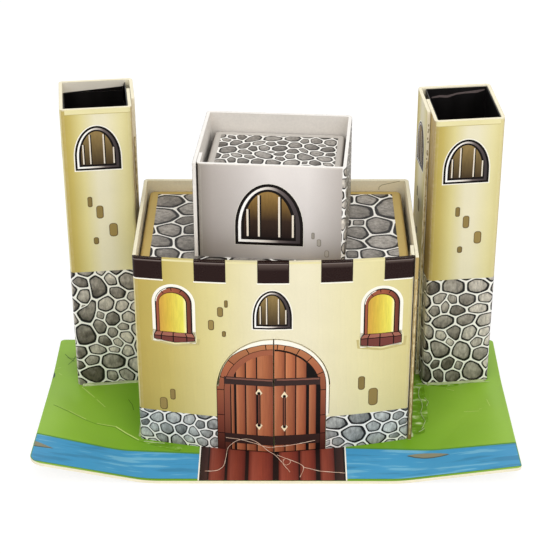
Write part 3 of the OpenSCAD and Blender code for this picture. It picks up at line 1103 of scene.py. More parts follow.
class CASTLE_OT_inks(bpy.types.Operator):
    """Mix the inks and papers and put bare board on the folded frame"""

    bl_idname = "castle.inks"
    bl_label = "Mix Inks"

    def execute(self, context):
        lay_out_sheets()
        printed_paper_group()
        cobble_tree()
        self.mix_inks()
        lining_material()
        papers = {"left_lining": "black lining paper", "right_lining": "black lining paper"}
        for name, (inside, edge, nodes) in BOARDS.items():
            board_material(name, inside, edge)
            papers.update((node, name) for node in nodes)
        for node, name in papers.items():
            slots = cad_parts[node].data.materials
            slots.clear()
            slots.append(material(name))
        return {"FINISHED"}

    def mix_inks(self):
        """Inks of the walls, the stones, the windows, the gate, the marks, the ground and the bridge."""
        for name, (stops, foot_shade) in WALL_INKS.items():
            wall_ink(name, stops, foot_shade)
        for name, (dark, light, slant) in STONE_INKS.items():
            stone_ink(name, dark, light, slant)
        for name, colour in FLAT_INKS.items():
            plain_ink(name, colour)
        for name, (colour, vary) in VARIED_INKS.items():
            plain_ink(name, colour, vary)
        for name, (colour, roughness, specular) in GLOSSY_INKS.items():
            plain_ink(name, colour, roughness=roughness, specular=specular)
        for name, (field, stops, grain, finish) in RAMP_INKS.items():
            ramp_ink(name, field, stops, grain, finish)
        grass_ink()
        water_ink()
        smear_ink()


def wall_paper(drawing, sheet, ink_name):
    """Covers a sleeve with its printed paper, worn at the folds and the rim."""
    for start, end in sheet.walls():
        stops = [s for s in sheet.along if start <= s <= end]
        tab = end - start < LAP_BACK + 2 * FOLD_R
        used = "seam tab and raw end shade" if tab else ink_name
        for s0, s1 in zip(stops, stops[1:]):
            folded = s1 - s0 < FOLD_R
            worn = [CORNER_WEAR if s in (start, end) else FOLD_WEAR for s in (s0, s1)]
            wear0, wear1 = worn if folded else (0.0, 0.0)
            top0, top1 = sheet.rim(s0), sheet.rim(s1)
            box = (start, 0, end, max(sheet.rims))
            low0, low1 = top0 - RIM_STRIP, top1 - RIM_STRIP
            drawing.patch([(s0, 0), (s1, 0), (s1, low1), (s0, low0)], used, 0, box=box,
                          wear=[wear0, wear1, wear1, wear0])
            drawing.patch([(s0, low0), (s1, low1), (s1, top1), (s0, top0)], used, 0, box=box,
                          wear=[wear0, wear1, RIM_WEAR, RIM_WEAR])


def front_paper(drawing, sheet, ink_name):
    """Covers the hall's front wall, leaving the slits of the gate open."""
    centre, spring = sheet.origin, GATE_H - GATE_R
    inner = GATE_R - GATE_SLIT
    turns = [math.pi * i / CUT_STEPS for i in range(CUT_STEPS + 1)]
    stops = {round(v, 4) for r in (GATE_R, inner) for v in (r * math.cos(a) for a in turns)}
    stops |= {round(s - centre, 4) for s in sheet.columns}
    stops |= {-GATE_SLIT / 2, GATE_SLIT / 2}
    stops = sorted(u for u in stops if abs(u) <= FRONT_HALF + 1e-3)

    def over(u, r):
        return spring + math.sqrt(max(r * r - u * u, 0))

    box = (centre - HALL_W / 2, 0, centre + HALL_W / 2, HALL_H)
    low = HALL_H - RIM_STRIP
    for u0, u1 in zip(stops, stops[1:]):
        s0, s1, middle = centre + u0, centre + u1, abs(u0 + u1) / 2
        above0, above1 = (over(u, GATE_R) if middle < GATE_R else 0 for u in (u0, u1))
        drawing.patch([(s0, above0), (s1, above1), (s1, low), (s0, low)], ink_name, 0, box=box)
        drawing.patch([(s0, low), (s1, low), (s1, HALL_H), (s0, HALL_H)], ink_name, 0, box=box,
                      wear=[0, 0, RIM_WEAR, RIM_WEAR])
        if GATE_SLIT / 2 < middle < GATE_R:
            below0, below1 = (over(u, inner) if middle < inner else spring for u in (u0, u1))
            drawing.patch([(s0, 0), (s1, 0), (s1, below1), (s0, below0)], ink_name, 0, box=box)


class CASTLE_OT_wall_paper(bpy.types.Operator):
    """Paper the folded walls"""

    bl_idname = "castle.wall_paper"
    bl_label = "Wall Paper"

    def execute(self, context):
        for name, colour in (("left", "cream wall"), ("right", "cream wall"), ("keep", "grey wall")):
            drawing = Drawing()
            wall_paper(drawing, SHEETS[name], colour)
            drawing.finish(name + "_paper", SHEETS[name], print_slot(name))
        hall, drawing = SHEETS["hall"], Drawing()
        wall_paper(drawing, hall, "cream wall")
        left, right = hall.front - 0.01, hall.columns[-1] + 0.01
        front = [f for f in drawing.bm.faces if left < f.calc_center_median().x < right]
        bmesh.ops.delete(drawing.bm, geom=front, context="FACES")
        front_paper(drawing, hall, "cream wall")
        drawing.finish("hall_paper", hall, "wall_print")
        return {"FINISHED"}


class CASTLE_OT_cobbles(bpy.types.Operator):
    """Print the stones on the walls and the roofs"""

    bl_idname = "castle.cobbles"
    bl_label = "Cobbles"

    # How far from the gate's middle the stones stop, and where they stop at the keep's seam and on the roofs
    GATE = (35.0, 32.3)
    KEEP_SEAM = 2.2
    ROOF_MARGIN, ROOF_FRONT = 6, 5
    KEEP_ROOF_CORNER = (LAYER + BOARD + 0.3, 2.6)
    KEEP_ROOF_AREA = (5, 3, 77.4, 64)

    def execute(self, context):
        p = sizes()
        left, right, hall, keep = (SHEETS[name] for name in ("left", "right", "hall", "keep"))
        roof = roof_plane(Vector((ROOF_LOW.x, ROOF_LOW.y)), 0, ROOF_HIGH.z)
        keep_roof = roof_plane(keep_place(*self.KEEP_ROOF_CORNER), KEEP_TURN, KEEP_ROOF_Z)
        tower_look = (p.tower_stone, 0.95, "tower stones")
        hall_look = (p.hall_stone, 0.78, "hall stones")
        band = p.hall_band / MM
        roof_area = (self.ROOF_MARGIN, self.ROOF_FRONT, ROOF_HIGH.x - ROOF_LOW.x - self.ROOF_MARGIN,
                     ROOF_HIGH.y - ROOF_LOW.y - self.ROOF_MARGIN)
        keep_area = (keep.origin + KEEP_W - self.KEEP_SEAM, 0, keep.along[-1], KEEP_H)
        left_area = (0, 0, left.along[-1], p.left_band / MM)
        right_area = (0, 0, right.along[-1], p.right_band / MM)
        gate_left_area = (0, 0, hall.origin - self.GATE[0], band)
        gate_right_area = (hall.origin + self.GATE[1], 0, hall.along[-1], band)
        keep_look, keep_roof_area = (p.keep_stone, 0.9), self.KEEP_ROOF_AREA
        beds = (
            ("left_cobbles", left, "wall_print", left_area, *tower_look, 3),
            ("right_cobbles", right, "wall_print", right_area, *tower_look, 5),
            ("hall_cobbles_left", hall, "wall_print", gate_left_area, *hall_look, 8),
            ("hall_cobbles_right", hall, "wall_print", gate_right_area, *hall_look, 11),
            ("hall_roof_cobbles", roof, "roof_print", roof_area, p.roof_stone, 0.86, "roof stones", 4),
            ("keep_roof_cobbles", keep_roof, "roof_print", keep_roof_area, *keep_look, "roof stones", 9),
            ("keep_cobbles", keep, "keep_print", keep_area, *keep_look, "tower stones", 6),
        )
        for name, sheet, slot, area, stone, flatness, stones, seed in beds:
            bed = Drawing()
            bed.rect(*area, "white grout", 1)
            bed.finish(name + "_grout", sheet, slot)
            cobbles(name, sheet, slot, area, stone / MM, flatness, stones, seed)
        return {"FINISHED"}


class CASTLE_OT_crenels(bpy.types.Operator):
    """Print the dark crenels round the hall's rim"""

    bl_idname = "castle.crenels"
    bl_label = "Crenels"

    # First crenel from the gate's middle, the pale lines round one, how far below the rim the painted
    # highlight along the crease lies, and how far down each one's painted sheen reaches
    FIRST, PITCH = -85.0, 18.87
    HALO_LEFT, HALO_RIGHT, HALO_FOOT = 0.4, 0.3, 0.9
    CREASE = 1.3
    SHINE = (1.0, 1.6, 4.4, 3.2, 2.0)
    # Light rim of the towers' fronts
    TOWER_MARGIN, TOWER_RIM = 3, 3.2

    def execute(self, context):
        hall, drawing, turned_over = SHEETS["hall"], Drawing(), Drawing()
        foot, last = HALL_H - sizes().crenel_height / MM, hall.along[-1]
        first, line = hall.origin + self.FIRST, HALL_H - self.CREASE
        ends = (hall.origin - HALL_W / 2, hall.origin + HALL_W / 2)
        box = (ends[0], -HALL_H, ends[1], BOARD)
        k = -math.ceil(first / self.PITCH)
        while first + k * self.PITCH < last:
            left, right = max(first + k * self.PITCH, 0), min(first + (k + 1) * self.PITCH, last)
            if k % 2 == 0:
                halo = (left - self.HALO_LEFT if left else 0, min(right + self.HALO_RIGHT, last))
                drawing.rect(halo[0], foot - self.HALO_FOOT, halo[1], foot, "pale halo", 1)
                drawing.rect(left, foot, right, HALL_H, "dark crenel", 2)
                # Painted highlight along the crease, and a painted sheen fading down below it
                drawing.stroke([(left + 0.4, line), (right - 0.4, line)], 0.5, "crenel crease highlight", 3)
                shine = self.SHINE[k // 2 % len(self.SHINE)]
                drawing.rect(left + 0.6, line - shine, right - 0.6, line - 0.25, "crenel shine", 3)
            else:
                drawing.rect(left, line, right, HALL_H, "light rim", 1)
            left, right = max(left, ends[0]), min(right, ends[1])
            if left < right:
                ink_name = "cream wall" if k % 2 else "dark crenel"
                turned_over.rect(left, -3 * INK, right, BOARD - 0.1, ink_name, 0, box=box)
            k += 1
        drawing.finish("hall_crenels", hall, "wall_print")
        turned_over.finish("hall_rim_paper", FrontRim(hall), "wall_print")
        for name in ("left", "right"):
            sheet, drawing = SHEETS[name], Drawing()
            start, end = sheet.origin + self.TOWER_MARGIN, sheet.origin + TOWER_W - self.TOWER_MARGIN
            top = sheet.rim(start + 10)
            drawing.rect(start, top - self.TOWER_RIM, end, top, "light rim", 1)
            drawing.stroke([(start, top - 3.3), (end, top - 3.3)], 0.35, "soft shadow", 2)
            drawing.finish(name + "_rim", sheet, "wall_print")
        return {"FINISHED"}


def barred_window(drawing, left, foot, right, top, bars, glass="small glass", halo=0.7):
    """Arched window with a stone ring that is white on the lit side, and upright bars."""
    spring = foot + 0.29 * (top - foot)
    size = (right - left) / 28
    line, lit, shaded = 1.3 * size, 1.15 * size, 1.7 * size
    insets = [
        ("pale halo", -halo, -halo, -halo, -halo),
        ("outline ink", 0, 0, 0, 0),
        ("window ring", line, line, line, line),
        ("outline ink", line + lit, line + lit, line + shaded, line + lit),
        (glass, 2 * line + lit, 2 * line + lit, 2 * line + shaded, 1.8 * line + lit),
    ]
    for layer, (name, from_left, from_foot, from_right, from_top) in enumerate(insets, 1):
        x0, x1, y0, y1 = left + from_left, right - from_right, foot + from_foot, top - from_top
        drawing.patch(arch(x0, x1, y0, y1, spring), name, layer)
    x, half = (x0 + x1) / 2, (x1 - x0) / 2
    for bar in bars:
        lean = max(1 - ((bar - x) / half) ** 2, 0.16)
        height = spring + (y1 - spring) * math.sqrt(lean) - 0.5
        drawing.rect(bar - 0.45 * size, y0, bar + size, height, "outline ink", 6)
        drawing.rect(bar - 0.45 * size, y0 + 0.4, bar + 0.35 * size, height, "window bar", 7)


def lit_window(drawing, left, right, sill, foot, top, overhang):
    """Lit window in a brown frame on a brick sill."""
    wide, middle = (right - left) / 2, (left + right) / 2
    spring, ledge = top - wide, foot - 2.6
    halo, line = 1.9, 0.8
    x0, x1 = left - overhang, right + overhang
    dark, pale = "outline ink", "pale halo"
    shadow = [(x0 - 2.4, ledge - 1), (x0 - 1.6, sill - 0.8), (middle, sill - 3.4), (x1 + 2.4, sill - 1.2),
              (x1 + 3, ledge - 1)]
    drawing.patch(shadow, "soft shadow", 1)
    drawing.patch(arch(left - halo, right + halo, sill - 0.4, top + halo, spring), pale, 2)
    under = [(x0 - 0.8, ledge), (x0 - 0.7, sill + 0.6), (middle, sill - 2), (x1 + 1, sill + 0.2),
             (x1 + 1.2, ledge), (right + halo, foot + 1), (left - halo, foot + 1)]
    drawing.patch(under, "light rim", 2)
    drawing.patch(arch(left, right, foot, top, spring), dark, 3)
    drawing.patch(arch(left + line, right - line, foot, top - line, spring), "window frame", 4)
    for turn in (62, 97, 132):
        a, b = (ring_point(middle, spring, r, turn) for r in (wide - 0.3, wide - 2.6))
        drawing.stroke([a, b], 0.45, dark, 5)
    outer, inner = (ring_arc(middle, spring, wide - inset, 112, 176, 12) for inset in (0.35, 0.85))
    drawing.band(outer, inner, pale, 5)
    pane_left, pane_right, pane_top, pane_spring = left + 2.2, right - 2.9, top - 3.6, spring + 0.4
    drawing.patch(arch(pane_left, pane_right, foot, pane_top, pane_spring), dark, 5)
    pane = arch(pane_left + 0.3, pane_right - 0.7, foot, pane_top - 0.4, pane_spring)
    drawing.patch(pane, "lit glass", 6)
    edge = [(x0, sill + 1.2), (middle, sill - 0.7), (x1, sill + 1.2), (x1, ledge), (right + 0.2, foot + 0.3),
            (left - 0.2, foot + 0.3), (x0, ledge)]
    drawing.patch(edge, dark, 6)
    shares = (0, 0.18, 0.47, 0.8, 1)
    joints = [x0 + (x1 - x0) * f for f in shares]
    tops = [left + (right - left) * f for f in shares]
    gap = 0.34
    for k, (a, b, c, d) in enumerate(zip(joints, joints[1:], tops, tops[1:])):
        dip_a, dip_b = (1.9 * (1 - ((v - middle) / (x1 - middle)) ** 2) for v in (a, b))
        a, b, c, d = a + gap, b - gap, c + gap, d - gap
        front = [(a, sill + 1.7 - dip_a), (b, sill + 1.7 - dip_b), (b, ledge - 0.6), (a, ledge - 0.6)]
        drawing.patch(front, "sill front", 7, shade=0.3 + 0.2 * (k % 3))
        ledge_top = [(a, ledge), (b, ledge), (d, foot - 0.1), (c, foot - 0.1)]
        drawing.patch(ledge_top, "sill top", 7, shade=0.3 + 0.2 * (k % 2))


def hidden_walls(name):
    """Flat middle and width of each wall beside the printed front of a tower or of the hall."""
    if name == "keep":
        return []
    sheet = SHEETS[name]
    front = sheet.origin + (TOWER_W / 2 if name in ("left", "right") else 0)
    return [((a + b) / 2, b - a) for a, b in sheet.walls() if b - a > NARROWEST_WALL and not a < front < b]


class CASTLE_OT_windows(bpy.types.Operator):
    """Print the barred and the lit windows"""

    bl_idname = "castle.windows"
    bl_label = "Windows"

    # Left, foot, right, top and bars of a window, from its sheet's origin
    BARRED = {
        "left": (7.6, 157.1, 35.8, 186.7, (12.9, 17.2, 25.6, 31.5)),
        "right": (9.0, 147.5, 37.6, 177.2, (14.2, 19.2, 27.7, 33.2)),
        "keep": (24.6, 9.5, 65.2, 50.2, (32.2, 38.9, 51.0, 59.1)),
        "hall": (-12.5, 86.5, 11.0, 112.2, (-7.9, -4.1, 3.0, 7.4)),
    }
    # Left, right, sill, foot, top and overhang of the sill
    LIT = ((-71.2, -48.9, 74.8, 81.3, 112.5, 1.4), (54.2, 76.0, 71.4, 80.2, 111.2, 1.8))
    # On hidden walls: half a window's width, the least wall beside it and its bars in half widths
    HIDDEN_HALF, HIDDEN_MARGIN = 14.2, 5
    HIDDEN_BARS = (-0.62, -0.3, 0.28, 0.68)

    def execute(self, context):
        for name, (left, foot, right, top, bars) in self.BARRED.items():
            sheet, drawing = SHEETS[name], Drawing()
            s = sheet.origin
            look = ("keep glass", 0.2) if name == "keep" else ()
            barred_window(drawing, s + left, foot, s + right, top, [s + bar for bar in bars], *look)
            for middle, room in hidden_walls(name):
                half = min(self.HIDDEN_HALF, room / 2 - self.HIDDEN_MARGIN)
                spots = [middle + half * t for t in self.HIDDEN_BARS]
                barred_window(drawing, middle - half, foot, middle + half, top, spots)
            drawing.finish(name + "_window", sheet, print_slot(name))
        hall = SHEETS["hall"]
        for side, (left, right, *rest) in zip(("left", "right"), self.LIT):
            drawing = Drawing()
            lit_window(drawing, hall.origin + left, hall.origin + right, *rest)
            drawing.finish("hall_lit_window_" + side, hall, "wall_print")
        return {"FINISHED"}


class CASTLE_OT_brick_marks(bpy.types.Operator):
    """Print the loose bricks on the walls"""

    bl_idname = "castle.brick_marks"
    bl_label = "Brick Marks"

    # Middle, width and height of a brick, from its sheet's origin
    MARKS = {
        "hall": ((-28.4, 102.8, 2.2, 5), (-32, 97.2, 3.6, 6.7), (-37.6, 88, 3.6, 7), (-29.9, 82.3, 2.4, 4),
                 (-62.3, 36.7, 3.3, 7.8), (-68.2, 29.3, 4.8, 8.9), (53.8, 45.8, 4.3, 9.7),
                 (61.2, 35.1, 5.9, 12.6)),
        "left": ((15.1, 135.1, 3, 7.2), (20.9, 127.7, 4.5, 9.1), (28.8, 114.7, 5.4, 9.5),
                 (17.6, 107.5, 3.3, 5)),
        "right": ((19.3, 127.6, 3, 6.8), (25, 120.2, 4.2, 8.8), (33, 108.7, 4.8, 8.8),
                  (21.9, 100.6, 3.3, 4.7)),
        "keep": ((71, 16.9, 2, 4.4), (74.6, 12.3, 2.6, 5), (79.3, 5.1, 2.8, 4.8)),
    }
    # Least wall beside a brick, and how much smaller its fill is and how far it is shifted
    MARGIN, LINE, SHIFT = 6, 0.9, 0.1

    def execute(self, context):
        for name, marks in self.MARKS.items():
            sheet, drawing = SHEETS[name], Drawing()
            line, fill = ("grey mark line", "grey mark") if name == "keep" else ("brick line", "brick mark")
            half = TOWER_W / 2 if name in ("left", "right") else 0
            for middle, room in ((sheet.origin + half, 2 * HALL_W), *hidden_walls(name)):
                for k, (x, z, width, height) in enumerate(marks):
                    radius, at = 0.4 * width, middle - half + x
                    if abs(at - middle) > room / 2 - self.MARGIN:
                        continue
                    drawing.patch(rounded(at, z, width, height, radius), line, 1)
                    fill_w, fill_h = width - self.LINE, height - self.LINE
                    inside = rounded(at - self.SHIFT, z + self.SHIFT, fill_w, fill_h, 0.8 * radius)
                    drawing.patch(inside, fill, 2, shade=(k % 3) / 2)
            drawing.finish(name + "_brick_marks", sheet, print_slot(name))
        return {"FINISHED"}


class CASTLE_OT_gate(bpy.types.Operator):
    """Print the two leaves of the gate inside its cut"""

    bl_idname = "castle.gate"
    bl_label = "Gate"

    RING_X, RING_Z, RING_OUT, RING_IN, REVEAL = -0.95, 43.3, 33.1, 29.3, 25.8
    SHOULDER, RIGHT_SHOULDER, LEFT_OUT = 1.6, 1.0, 34.15
    JOINTS = (0, 22, 44, 60, 76, 84, 97, 118, 142, 164, 180)
    LEFT_PLANKS = ((-26.0, -24.3), (-22.9, -17.6), (-16.8, -10.8), (-10.0, -0.4))
    RIGHT_PLANKS = ((0.4, 6.6), (7.3, 13.1), (13.8, 19.8), (21.7, 25.9))
    HANDLES = ((-9.1, 17.4, 44.5), (6.5, 16.5, 42.5))
    UPPER_BEAM, LOWER_BEAM = (47.7, 53.0), (5.7, 12.5)
    BEAM_ENDS, BEAM_DIP = ((-30.4, -0.3), (0.3, 28.4)), 0.4

    def execute(self, context):
        hall, drawing = SHEETS["hall"], Drawing()
        self.x, self.spring = hall.origin, GATE_H - GATE_R
        inner = GATE_R - GATE_SLIT - 0.1
        side = sizes().hall_band / MM + 1
        pale = arch(self.x - inner, self.x + inner, side, self.spring + inner, self.spring, 48)
        drawing.patch(pale, "pale halo", 1)
        self.add_ring(drawing)
        self.add_planks(drawing)
        self.add_beams(drawing)
        half = GATE_SLIT / 2 + 0.03
        for s in (self.x - half, self.x + half):
            cut(drawing.bm, drawing.bm.faces[:], (s, 0), (1, 0))
        slit = [f for f in drawing.bm.faces if abs(f.calc_center_median().x - self.x) < half]
        bmesh.ops.delete(drawing.bm, geom=slit, context="FACES")
        drawing.finish("gate_print", hall, "wall_print")
        return {"FINISHED"}

    def ring_edge(self, degrees, inset):
        """Point of the ring's outer edge, which bulges at its shoulders and stops at the cut."""
        left = min(max((degrees - 105) / 40, 0), max((180 - degrees) / 30, 0), 1)
        right = min(max(degrees / 25, 0), max((80 - degrees) / 30, 0), 1)
        shoulders = ((self.SHOULDER, left), (self.RIGHT_SHOULDER, right))
        bulge = sum(most * t * t * (3 - 2 * t) for most, t in shoulders)
        radius = self.RING_OUT + bulge - inset
        spot = Vector(ring_point(self.RING_X, self.RING_Z - self.spring, radius, degrees))
        reach = GATE_R - GATE_SLIT - 0.12 - inset
        if degrees > 90 and spot.y <= 0:
            spot.x = self.RING_X - self.LEFT_OUT + inset
        elif spot.length > reach:
            spot *= reach / spot.length
        return (self.x + spot.x, self.spring + spot.y)

    def add_ring(self, drawing):
        x, z, out, into = self.x + self.RING_X, self.RING_Z, self.RING_OUT, self.RING_IN
        dark, brick = "outline ink", "ring brick"
        edge = [self.ring_edge(3.75 * i, 0) for i in range(49)]
        left = edge[-1][0]
        above = [spot for spot in edge if spot[1] > self.spring or spot[0] > x]
        foot = [(above[-1][0], self.spring), (left, self.spring), (left, 0)]
        drawing.patch([(x + out, 0), *above, *foot], dark, 2)
        turns = [163 + 1.2 * i for i in range(12)]
        beyond = [ring_point(x, z, self.LEFT_OUT, turn) for turn in turns]
        cut_edge = [ring_point(self.x, self.spring, GATE_R + 0.03, turn + 3.5) for turn in turns]
        drawing.band(beyond, cut_edge, dark, 2)
        box = (x - out, -10, x + out, z + out)
        line, gap = 0.35, 0.5
        for k, (a, b) in enumerate(zip(self.JOINTS, self.JOINTS[1:])):
            turns = [a + gap + (b - a - 2 * gap) * i / 6 for i in range(7)]
            outer = [self.ring_edge(turn, line) for turn in turns]
            inner = [ring_point(x, z, into + line, turn) for turn in turns]
            drawing.band(outer, inner, brick, 3, box=box, shade=(k * 5 % 7) / 6)
        for near, far in ((left + line, x - into - line), (x + into + line, x + out - line)):
            stops = (0.3, 12.2, 25.3, z)
            for k, (low, high) in enumerate(zip(stops, stops[1:])):
                shade = (k * 3 % 4) / 3
                drawing.rect(near, low + gap / 2, far, high - gap / 2, brick, 3, box=box, shade=shade)
        outer, inner = (ring_arc(x, z, radius, 87, 180, 24) for radius in (into, self.REVEAL))
        drawing.band(outer, inner, "gate reveal", 3, box=box)
        drawing.rect(x - into, 0.3, x - self.REVEAL, z, "gate reveal", 3, box=box)
        # Painted shadow of the right leaf's edge, running down from the end of the slit
        drawing.stroke([(self.x + GATE_R - 0.35, self.spring), (self.x + GATE_R - 0.6, 26)], 0.3, dark, 2)

    def add_planks(self, drawing):
        top = self.UPPER_BEAM[0] + 1
        for k, (a, b) in enumerate(self.LEFT_PLANKS + self.RIGHT_PLANKS):
            drawing.rect(self.x + a, 0.9, self.x + b, top, "gate plank", 4, shade=(k * 5 % 8) / 7)
            reach = self.REVEAL if a < 0 else self.RING_IN - 0.8
            xs = [a + (b - a) * i / 8 for i in range(9)]
            xs = [v for v in xs if -reach + 2 < v - self.RING_X < 21]
            if len(xs) > 1:
                low = self.UPPER_BEAM[1] - 1
                heights = [self.RING_Z + math.sqrt(reach ** 2 - (v - self.RING_X) ** 2) for v in xs]
                outline = [(self.x + v, max(h, low + 0.1)) for v, h in zip(xs, heights)]
                plank = [(self.x + xs[0], low), (self.x + xs[-1], low), *reversed(outline)]
                drawing.patch(plank, "lunette plank", 4, shade=(k * 3 % 8) / 7)

    def add_beams(self, drawing):
        dip = self.BEAM_DIP
        for low, high in (self.UPPER_BEAM, self.LOWER_BEAM):
            for a, b in self.BEAM_ENDS:
                left, right = self.x + a, self.x + b
                beam = [(left, low), (right, low - dip), (right, high - dip), (left, high)]
                drawing.patch(beam, "gate beam", 5)
                if low == self.UPPER_BEAM[0]:
                    left, right, foot, top = left + 1.5, right - 0.5, high - 1.6, high - 0.6
                    shine = [(left, foot), (right, foot - dip), (right, top - dip), (left, top)]
                    drawing.patch(shine, "beam shine", 6)
        for at, low, high in self.HANDLES:
            x = self.x + at
            for end, sign in ((low, -1), (high, 1)):
                tip = end + sign * 1.2
                wide, back = end - sign * 2.1, end - sign * 4.6
                corners = [(x, tip), (x + 2.1, wide), (x, back), (x - 2.1, wide)]
                drawing.patch(corners if sign < 0 else corners[::-1], "handle end", 6)
            rod = rounded(x, (low + high) / 2, 1.9, high - low - 2.4, 0.8)
            drawing.patch(rod, "outline ink", 7)
            drawing.rect(x - 0.45, low + 3, x + 0.4, high - 3, "handle bar", 8)


class SprungLining:
    """Upper part of the left lining's wall on the hall's side, which bulges into the tower."""

    LENGTH, DEPTH, BULGE = 36.0, 14.0, 2.3
    cuts = creases = ()

    def place(self, s, z, lift):
        bulge = self.BULGE * math.sin(math.pi * s / self.LENGTH) * (z + self.DEPTH) / self.DEPTH
        plan = left_place(LAYER + BOARD + 0.8 + bulge + lift, 4.5 + s)
        return Vector((plan.x, plan.y, BASE_T + LEFT_RIMS[0] + z)) * MM


class CASTLE_OT_creases(bpy.types.Operator):
    """Draw the painted shade and highlight of the crease on the parapet, the seams, the raw edges and the
    linings' sheen and sprung edge
    """

    bl_idname = "castle.creases"
    bl_label = "Creases"

    PARAPET = ((66.2, 0.3), (66.3, 2.3), (68.0, 3.8), (71.9, 4.8), (75.5, 5.6), (79.5, 6.6))
    SHEEN = ((4.0, -6.6), (9.0, -5.8), (14.0, -6.0), (20.0, -4.8), (26.0, -4.0), (33.0, -3.6), (38.0, -2.8))
    # Widths of the shade beside the seams, from the start of a strip or, below zero, from its end
    SEAMS = (("keep", 2.4), ("right", 1.3), ("left", -1.3), ("hall", -1.6))
    FLUTES, FLUTE_TOP = 26, 182
    LINING_GAP, LINING_T = 0.15, 0.6

    def execute(self, context):
        parapet = wall_plane(Vector((0, HALL_HIGH.y - BOARD)), Vector((1, 0)), ROOF_HIGH.z)
        drawing = Drawing()
        # Painted shade in the parapet's crease, with a painted highlight beside it
        drawing.stroke(self.PARAPET, 0.35, "board groove shade", 0)
        drawing.stroke([(x + 0.3, y - 0.35) for x, y in self.PARAPET], 0.4, "board shine", 0)
        drawing.finish("parapet_crease_shading", parapet, "wall_print")
        back = TOWER_D - BOARD - self.LINING_GAP - self.LINING_T
        start, end = right_place(4.5, back), right_place(TOWER_W - BOARD, back)
        lining = wall_plane(start, end - start, BASE_T + RIGHT_RIMS[1])
        drawing = Drawing()
        outer = [(x, y + 0.5 + 0.25 * (k % 2)) for k, (x, y) in enumerate(self.SHEEN)]
        inner = [(x, y - 0.4 - 0.35 * (k % 3)) for k, (x, y) in enumerate(self.SHEEN)]
        drawing.band(inner, outer, "lining shine", 0)
        drawing.finish("lining_sheen", lining, "black_paper")
        self.add_seams()
        self.add_left_top()
        return {"FINISHED"}

    def add_seams(self):
        """Shaded seams beside the raw ends of the walls, painted shade on the hall's raw end, and the flutes
        of the right tower's raw lap with painted shade in their hollows.
        """
        for name, width in self.SEAMS:
            sheet, drawing = SHEETS[name], Drawing()
            edge = 0 if width > 0 else sheet.along[-1]
            left, right = sorted((edge, edge + width))
            drawing.rect(left, 0, right, min(sheet.rims) - 0.6, "seam shade", 3)
            drawing.finish(name + "_seam_shade", sheet, print_slot(name))
        # Painted shade on the hall's cut end in its seam, over the board's own brown
        raw = wall_plane(Vector((HALL_HIGH.x - BOARD, HALL_FRONT)), Vector((1, 0)), BASE_T)
        drawing = Drawing()
        drawing.rect(0, 0.2, BOARD, HALL_H - 0.2, "seam tab and raw end shade", 0)
        drawing.finish("hall_raw_end", raw, "wall_print")
        start = right_place(0, LAP_BACK)
        raw, drawing = wall_plane(start, right_place(BOARD, LAP_BACK) - start, BASE_T), Drawing()
        # Dots of painted shade in the hollow flutes of the right tower's raw lap
        for k in range(self.FLUTES):
            x, z = 1.1 + 0.25 * math.sin(1.7 * k), self.FLUTE_TOP - k * (2.7 + 0.5 * math.sin(2.3 * k))
            drawing.patch(rounded(x, z, 0.7, 1.5, 0.3), "board groove shade", 0)
        drawing.finish("right_flutes", raw, "wall_print")

    def add_left_top(self):
        """Bare board above the left lining, and the lining's wall that has sprung inwards."""
        start, end = left_place(TOWER_W - BOARD, TOWER_D - BOARD), left_place(LAYER + BOARD, TOWER_D - BOARD)
        back = wall_plane(start, end - start, BASE_T + LEFT_RIMS[1])
        wide, drawing = (end - start).length, Drawing()
        drawing.rect(0.1, -7, wide - 0.1, -0.2, "tower inside", 0)
        drawing.patch([(0.1, -7), (wide - 0.1, -7), (wide - 0.1, -4.2)], "lining edge", 1)
        drawing.finish("left_tower_inside", back, "wall_print")
        drawing = Drawing()
        stops, heights = [SprungLining.LENGTH * i / 10 for i in range(11)], (-14.0, -9.5, -5.0, -0.6)
        for a, b in zip(stops, stops[1:]):
            for low, high in zip(heights, heights[1:]):
                drawing.rect(a, low, b, high, "lining edge", 0)
        middle = SprungLining.LENGTH / 2
        drawing.stroke([(middle, -9), (middle - 1, -2)], 0.6, "lining shine", 2)
        drawing.finish("sprung_lining", SprungLining(), "black_paper")


